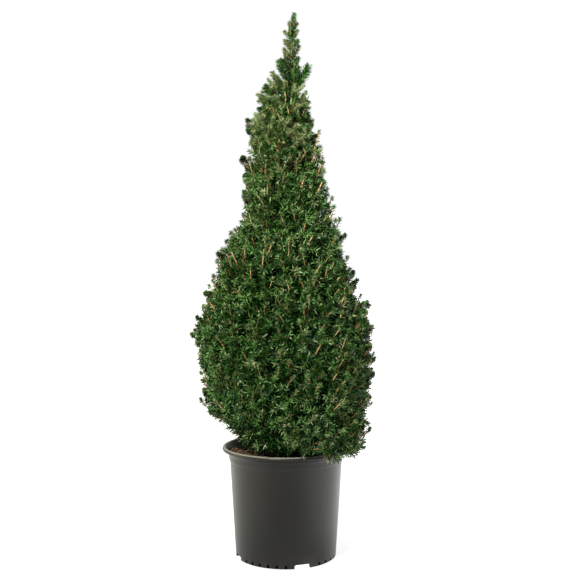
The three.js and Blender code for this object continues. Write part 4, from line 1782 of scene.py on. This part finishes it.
# ---- trunk and boughs
@dataclass
class Limbs:
    """The trunk and its boughs, with the relief of their bark."""

    rule: CrownRule
    trunk_sides: int = 20
    trunk_rings: int = 22
    crowded: float = 1.6
    flare: float = 0.62
    roots: int = 5
    root_rings: int = 5
    root_pull: float = 0.2
    bough_sides: int = 10
    bough_rings: int = 4
    bough_root: float = 6.4
    bough_tip: float = 3.6
    sag: float = 7.0
    relief: float = 0.0011
    bough_relief: float = 0.6
    plates: tuple[tuple[float, float], ...] = ((0.011, 1.0), (0.004, 0.5))

    def build(self) -> None:
        """Makes the trunk and the boughs."""
        finish = ScalyBark().material()
        hand_over(self._trunk(), ["trunk"], [finish])
        spaces = [space for space in self.rule.spaces() if space.under.limb]
        boughs = Bench.join([self._bough(space) for space in spaces], "boughs")
        self._roughen(boughs, self.bough_relief * self.relief)
        hand_over(boughs, [space.bough for space in spaces], [finish])

    def _trunk(self) -> Piece:
        """Draws the trunk out from its foot and pulls its root flare out into lobes.

        Returns:
            The trunk.
        """
        rule = self.rule
        foot = rule.soil + rule.touch
        rings = []
        for number in range(self.trunk_rings + 1):
            height = foot + (rule.trunk_tip - foot) * (number / self.trunk_rings) ** self.crowded
            rings.append(Ring(rule.axis(height) * MM, rule.trunk_radius(height, self.flare) * MM))
        trunk = Bench.drawn("trunk_bark", self.trunk_sides, rings)
        for number, ring in enumerate(rings[: self.root_rings]):
            self._pull_roots(trunk, ring, 1 + self.root_pull * (1 - number / self.root_rings))
        Bench.finish(trunk, "SUBSURF", levels=2, render_levels=2)
        self._roughen(trunk, self.relief)
        return trunk

    def _pull_roots(self, trunk: Piece, ring: Ring, share: float) -> None:
        """Pulls a ring of the trunk out where its roots are.

        Args:
            trunk: The trunk.
            ring: The ring.
            share: How far out, as a share of the radius.
        """

        def on_root(point: Vector) -> bool:
            """Whether a point is on this ring and over a root."""
            out = point - ring.centre
            return abs(out.z) < 0.0005 and math.cos(self.roots * math.atan2(out.y, out.x)) > 0.4

        Bench.pick(trunk, on_root)
        bpy.ops.transform.resize(value=(share, share, 1), center_override=ring.centre)
        bpy.ops.object.mode_set(mode="OBJECT")

    def _bough(self, space: Space) -> Piece:
        """One tapering bough, from the trunk's side to where its mass begins.

        Args:
            space: The space of the mass that it carries.

        Returns:
            The bough.
        """
        rule = self.rule
        start = rule.on_trunk(space, self.sag + self.bough_root)
        start.z -= self.sag
        end = rule.place(space, 0, rule.entry(space), 0.5)
        along = (end - start).normalized()
        rings = []
        for number in range(self.bough_rings + 1):
            share = number / self.bough_rings
            centre = start.lerp(end, share) - up(0.8 * self.sag * math.sin(share * math.pi))
            radius = self.bough_root + (self.bough_tip - self.bough_root) * share
            rings.append(Ring(centre * MM, radius * MM))
        bough = Bench.drawn(f"{space.bough}_bark", self.bough_sides, rings, along)
        Bench.finish(bough, "SUBSURF", levels=1, render_levels=1)
        return bough

    def _roughen(self, limb: Piece, relief: float) -> None:
        """Raises a bark's plates and furrows on a limb's mesh.

        Args:
            limb: The limb.
            relief: Their height in metres.
        """
        for size, share in self.plates:
            Bench.raise_clouds(limb, "bark", size, relief * share)
        Bench.smooth(limb, 50)


# ---- pot and soil
@dataclass(frozen=True)
class Opening:
    """The size of one kind of opening in the pot's foot, and how far below the pot its cutter starts."""

    width: float
    height: float
    depth: float
    corner: float
    below: float


@dataclass
class NurseryPot:
    """The round moulded pot, with its flared rolled lip, its band, and the notches in its foot."""

    height: float = 240.0
    lip_radius: float = 139.7
    band_radius: float = 125.5
    wall_top_radius: float = 122.5
    base_radius: float = 109.8
    wall: float = 2.0
    band_drop: float = 31.0
    floor_raise: float = 5.0
    boss_radius: float = 56.0
    sides: int = 144
    notches: int = 4
    first_notch: float = -71.0
    notch: Opening = Opening(36.0, 9.0, 13.0, 4.4, 4.0)
    slots: int = 36
    slot: Opening = Opening(4.8, 8.2, 7.2, 1.4, -1.2)
    cutter_outside: float = 5.0

    def profile(self) -> list[tuple[float, float]]:
        """The pot's wall, from the middle of its underside round to that of its floor.

        Returns:
            A radius and a height for each point.
        """
        step = self.height - self.band_drop
        base, top, band, lip = self.base_radius, self.wall_top_radius, self.band_radius, self.lip_radius
        boss, wall, lift, high = self.boss_radius, self.wall, self.floor_raise, self.height
        return [
            (boss - 1, 0),
            (boss, 0.4),
            (boss + 3, lift),
            (base - 11, lift),
            (base - 9.3, 0.3),
            (base - 8.9, 0),
            (base - 1.5, 0),
            (base - 0.3, 0.9),
            (base, 3),
            (base + 0.65, 14),
            (base + 6, 100),
            (top, step - 1),
            (top + 0.3, step),
            (band - 1.2, step + 1.6),
            (band - 0.7, step + 3),
            (band - 0.2, high - 22),
            (band + 0.3, high - 18.5),
            (band + 2.2, high - 14),
            (band + 5.4, high - 11.2),
            (band + 9.0, high - 9.6),
            (lip - 3.2, high - 9.2),
            (lip - 1.3, high - 8.3),
            (lip - 0.3, high - 6.6),
            (lip, high - 4.6),
            (lip - 0.4, high - 2.7),
            (lip - 1.5, high - 1.1),
            (lip - 3.1, high - 0.2),
            (lip - 4.8, high),
            (lip - 6.6, high - 0.7),
            (band + 3.6, high - 5.0),
            (band - 0.2, high - 10.6),
            (band - wall, high - 15),
            (band - wall - 0.6, high - 20),
            (band - wall - 0.8, step + 3),
            (top - wall, step - 2),
            (base - wall + 0.4, lift + 6),
            (base - wall - 2.5, lift + wall),
            (boss + 3 - wall, lift + wall),
            (boss - wall, wall),
            (1, wall),
        ]

    def build(self) -> None:
        """Makes the pot."""
        pot = Bench.drawn("nursery_pot", self.sides, turned(self.profile()))
        cutters = [self._cutter(azimuth, self.notch) for azimuth in self._notch_azimuths()]
        cutters += [self._cutter(azimuth, self.slot) for azimuth in self._slot_azimuths()]
        cutter = Bench.join(cutters, "notch_cutters")
        Bench.finish(pot, "BOOLEAN", object=cutter, operation="DIFFERENCE", solver="EXACT")
        bpy.data.objects.remove(cutter)
        Bench.smooth(pot, 32)
        hand_over(pot, ["pot"], [MouldedPlastic().material()])

    def _notch_azimuths(self) -> list[float]:
        """The azimuths of the drain notches, in radians."""
        return [math.radians(self.first_notch + 360 * n / self.notches) for n in range(self.notches)]

    def _slot_azimuths(self) -> list[float]:
        """Finds the small slots that clear the drain notches.

        Returns:
            Their azimuths, in radians.
        """
        clear = (self.notch.width / 2 + self.slot.width) / self.base_radius
        every = [2 * math.pi * number / self.slots for number in range(self.slots)]
        notches = self._notch_azimuths()
        return [a for a in every if all(abs(math.remainder(a - n, 2 * math.pi)) > clear for n in notches)]

    def _cutter(self, azimuth: float, opening: Opening) -> Piece:
        """A block with rounded upper corners that cuts an opening into the pot's foot.

        Args:
            azimuth: Where it cuts, in radians.
            opening: The size of the opening.

        Returns:
            The block.
        """
        height, below, outside = opening.height, opening.below, self.cutter_outside
        middle = self.base_radius + (outside - opening.depth) / 2
        Bench.clear()
        bpy.ops.mesh.primitive_cube_add(size=1, location=(0, 0, 0))
        block = bpy.context.active_object
        block.scale = ((opening.depth + outside) * MM, opening.width * MM, (height + below) * MM)
        block.location = (middle * MM, 0, (height - below) / 2 * MM)
        Bench.settle(block)
        top = height * MM - 1e-5
        Bench.pick(block, lambda point: point.z > top)
        bpy.ops.mesh.select_mode(type="EDGE")
        bpy.ops.object.mode_set(mode="OBJECT")
        points = block.data.vertices
        for edge in block.data.edges:
            one, two = (points[index].co for index in edge.vertices)
            edge.select = one.z > top and two.z > top and abs(one.y - two.y) < 1e-6
        bpy.ops.object.mode_set(mode="EDIT")
        bpy.ops.mesh.bevel(offset=opening.corner * MM, segments=4)
        bpy.ops.mesh.select_all(action="SELECT")
        bpy.ops.transform.rotate(value=-azimuth, orient_axis="Z", center_override=(0, 0, 0))
        bpy.ops.object.mode_set(mode="OBJECT")
        return block


@dataclass
class PottingMix:
    """The soil in the pot, with loose bark chips on it."""

    pot: NurseryPot
    level: float = 218.0
    crown: float = 2.4
    bank: float = 9.0
    rings: int = 30
    sides: int = 128
    touch: float = 0.3
    rim_gap: float = 1.7
    lumps: tuple[tuple[float, float], ...] = ((0.016, 3.4), (0.005, 2.6), (0.0022, 1.4))
    chips: int = 1500
    chip_seed: int = 31
    chip_rise: float = 1.9
    chip_length: tuple[float, float] = (1.2, 3.4)
    chip_width: tuple[float, float] = (0.8, 1.9)
    chip_depth: tuple[float, float] = (0.35, 0.9)
    chip_shares: tuple[float, ...] = (0.42, 0.32, 0.18, 0.08)

    def build(self) -> None:
        """Makes the soil and its chips."""
        hand_over(self._fill(), ["soil"], [DampCompost().material()])
        hand_over(self._chips(), (), materials_of(Chip))

    def _rim(self) -> float:
        """The radius at which the soil meets the pot."""
        return self.pot.band_radius - self.pot.wall - self.rim_gap

    def _height(self, radius: float | np.ndarray) -> float | np.ndarray:
        """How high the soil stands at a radius."""
        share = radius / self._rim()
        return self.level + self.crown * (1 - share) + self.bank * share**4

    def _fill(self) -> Piece:
        """Draws the soil up from the pot's floor and in across its top, which is then roughened.

        Returns:
            The soil's body.
        """
        pot, touch = self.pot, self.touch
        base, boss, wall, lift = pot.base_radius, pot.boss_radius, pot.wall, pot.floor_raise
        rim = self._rim()
        outline = [
            (boss - wall - touch, wall + touch),
            (boss + 3 - wall - touch, lift + wall + touch),
            (base - wall - 2.5 - touch, lift + wall + touch),
            (base - wall + 0.4 - touch, lift + 6),
            (rim - 2.4, self.level - 12),
            (rim, self.level + self.bank - 3),
        ]
        radii = [rim * (1 - number / self.rings) for number in range(self.rings)]
        outline += [(radius, float(self._height(radius))) for radius in radii]
        fill = Bench.drawn("potting_mix", self.sides, turned(outline))
        top = fill.vertex_groups.new(name="top")
        level = (self.level - 1) * MM
        top.add([point.index for point in fill.data.vertices if point.co.z > level], 1.0, "REPLACE")
        Bench.finish(fill, "SUBSURF", levels=1, render_levels=1, subdivision_type="SIMPLE")
        for size, height in self.lumps:
            Bench.raise_clouds(fill, "soil", size, height * MM, direction="Z", vertex_group="top")
        Bench.smooth(fill, 40)
        return fill

    def _chips(self) -> Piece:
        """Joins the loose chips, each a small skewed slab.

        Returns:
            The piece.
        """
        random = np.random.default_rng(self.chip_seed)
        count = self.chips
        radius = (self._rim() - 4) * np.sqrt(random.uniform(0.03, 1, count))
        azimuth = random.uniform(0, 2 * math.pi, count)
        centre = np.stack([radius * np.cos(azimuth), radius * np.sin(azimuth), self._height(radius)], axis=1)
        centre[:, 2] += random.uniform(0.0, self.chip_rise, count)
        long = self._ways(random, count, 0.35)
        wide = unit_rows(np.cross(self._ways(random, count, 2.0), long))
        deep = np.cross(long, wide)
        size = random.lognormal(0.0, 0.45, count)[:, None]
        axes = [
            long * size * random.uniform(*self.chip_length, (count, 1)),
            wide * size * random.uniform(*self.chip_width, (count, 1)),
            deep * size * random.uniform(*self.chip_depth, (count, 1)),
        ]
        corners = []
        for a, b, c in ((x, y, z) for z in (-1, 1) for y in (-1, 1) for x in (-1, 1)):
            nudge = random.uniform(0.6, 1.1, (3, count, 1))
            corners.append(centre + a * nudge[0] * axes[0] + b * nudge[1] * axes[1] + c * nudge[2] * axes[2])
        pattern = ((0, 2, 3, 1), (4, 5, 7, 6), (0, 1, 5, 4), (2, 6, 7, 3), (0, 4, 6, 2), (1, 3, 7, 5))
        tints = random.choice(len(Chip), count, p=self.chip_shares)
        return repeated("bark_chips", corners, pattern, tints, False)

    @staticmethod
    def _ways(random: np.random.Generator, count: int, steep: float) -> np.ndarray:
        """Random directions.

        Args:
            random: Where they come from.
            count: How many there are.
            steep: How far they may leave the level.

        Returns:
            The directions, as rows.
        """
        ways = random.normal(0, 1, (count, 3))
        ways[:, 2] *= steep
        return unit_rows(ways)


# ---- studio
@dataclass(frozen=True)
class Lamp:
    """A light that faces a point of the plant."""

    name: str
    place: tuple[float, float, float]
    aim: tuple[float, float, float]
    power: float
    colour: Colour

    def hang(self, kind: str) -> bpy.types.Light:
        """Adds the light.

        Args:
            kind: The type of light.

        Returns:
            The light, whose shape is still to be set.
        """
        light = bpy.data.lights.new(self.name, kind)
        light.energy = self.power
        light.color = self.colour
        holder = bpy.data.objects.new(self.name, light)
        holder.location = self.place
        holder.rotation_euler = (Vector(self.aim) - Vector(self.place)).to_track_quat("-Z", "Y").to_euler()
        bpy.context.scene.collection.objects.link(holder)
        return light


@dataclass(frozen=True)
class SoftLight(Lamp):
    """One large soft rectangular light."""

    size: tuple[float, float]

    def build(self) -> None:
        """Adds the light."""
        light = self.hang("AREA")
        light.shape = "RECTANGLE"
        light.size, light.size_y = self.size


@dataclass(frozen=True)
class SoftSpot(Lamp):
    """A spot whose light fades out towards its edge."""

    width: float
    softness: float

    def build(self) -> None:
        """Adds the spot."""
        light = self.hang("SPOT")
        light.spot_size = math.radians(self.width)
        light.spot_blend = 1.0
        light.shadow_soft_size = self.softness


@dataclass
class Studio:
    """A pale floor that glows as painted light, a spot from the front left that lights the crown, soft light,
    and the camera.
    """

    distance: float = 2.0
    camera_height: float = 0.630
    camera_aside: float = 0.0044
    pitch: float = -1.28
    lens: float = 57.06
    sensor: float = 36
    floor_size: float = 80
    sky_lit: tuple[float, float] = (0.10, 0.44)
    sky_seen: float = 1.05
    lights: tuple[SoftLight | SoftSpot, ...] = (
        SoftSpot("crown_spot", (-0.9, -1.9, 1.8), (0, 0, 0.88), 395, (1.0, 0.95, 0.80), 44, 0.04),
        SoftLight("left_softbox", (-1.9, 0.15, 0.7), (0, 0, 0.4), 15, (1.0, 0.96, 0.66), (1.3, 1.5)),
        SoftLight("right_softbox", (1.9, -0.2, 0.5), (0, 0, 0.25), 12, (1.0, 1.0, 1.0), (1.5, 1.1)),
        SoftLight("overhead_softbox", (-0.1, -1.3, 2.2), (0, 0, 0.3), 6, (1.0, 1.0, 1.0), (2.0, 1.0)),
    )

    def build(self) -> None:
        """Sets up the floor, the light and the camera."""
        self._floor()
        self._sky()
        for light in self.lights:
            light.build()
        self._camera()
        bpy.context.scene.view_settings.view_transform = "Standard"

    def _floor(self) -> None:
        """Lays the floor."""
        Bench.clear()
        bpy.ops.mesh.primitive_plane_add(size=self.floor_size, location=(0, 0, 0))
        floor = bpy.context.active_object
        floor.name = "studio_floor"
        Bench.settle(floor)
        floor.data.materials.append(PaleFloor().material())

    def _sky(self) -> None:
        """Fills the studio with white light that is dimmer from the front, and white behind the plant."""
        world = bpy.data.worlds.new("studio_light")
        bpy.context.scene.world = world
        world.use_nodes = True
        shader = Shader(world.node_tree)
        way = shader.make("ShaderNodeTexCoord", output="Generated")
        lit = shader.fade(shader.part(way, "Y"), -0.9, 0.4, *self.sky_lit)
        seen = shader.make("ShaderNodeLightPath", output="Is Camera Ray")
        strength = lit + seen * (self.sky_seen - lit)
        background = world.node_tree.nodes["Background"]
        background.inputs["Color"].default_value = (1, 1, 1, 1)
        world.node_tree.links.new(strength.socket, background.inputs["Strength"])

    def _camera(self) -> None:
        """Places the camera."""
        lens = bpy.data.cameras.new("camera")
        lens.lens = self.lens
        lens.sensor_width = self.sensor
        camera = bpy.data.objects.new("camera", lens)
        camera.location = (self.camera_aside, -self.distance, self.camera_height)
        camera.rotation_euler = (math.radians(90 + self.pitch), 0, 0)
        bpy.context.scene.collection.objects.link(camera)
        bpy.context.scene.camera = camera


# ---- assembly
def main() -> None:
    """Builds the studio, the pot and its soil, the limbs and the crown."""
    logging.basicConfig(level=logging.INFO, format="%(name)s: %(message)s")
    Studio().build()
    pot = NurseryPot()
    pot.build()
    PottingMix(pot).build()
    rule = CrownRule()
    Limbs(rule).build()
    crown = Crown(rule)
    crown.grow()
    crown.build()
    log.info("%d twigs, %d buds", len(crown.sticks), len(crown.buds))


if __name__ == "__main__":
    main()
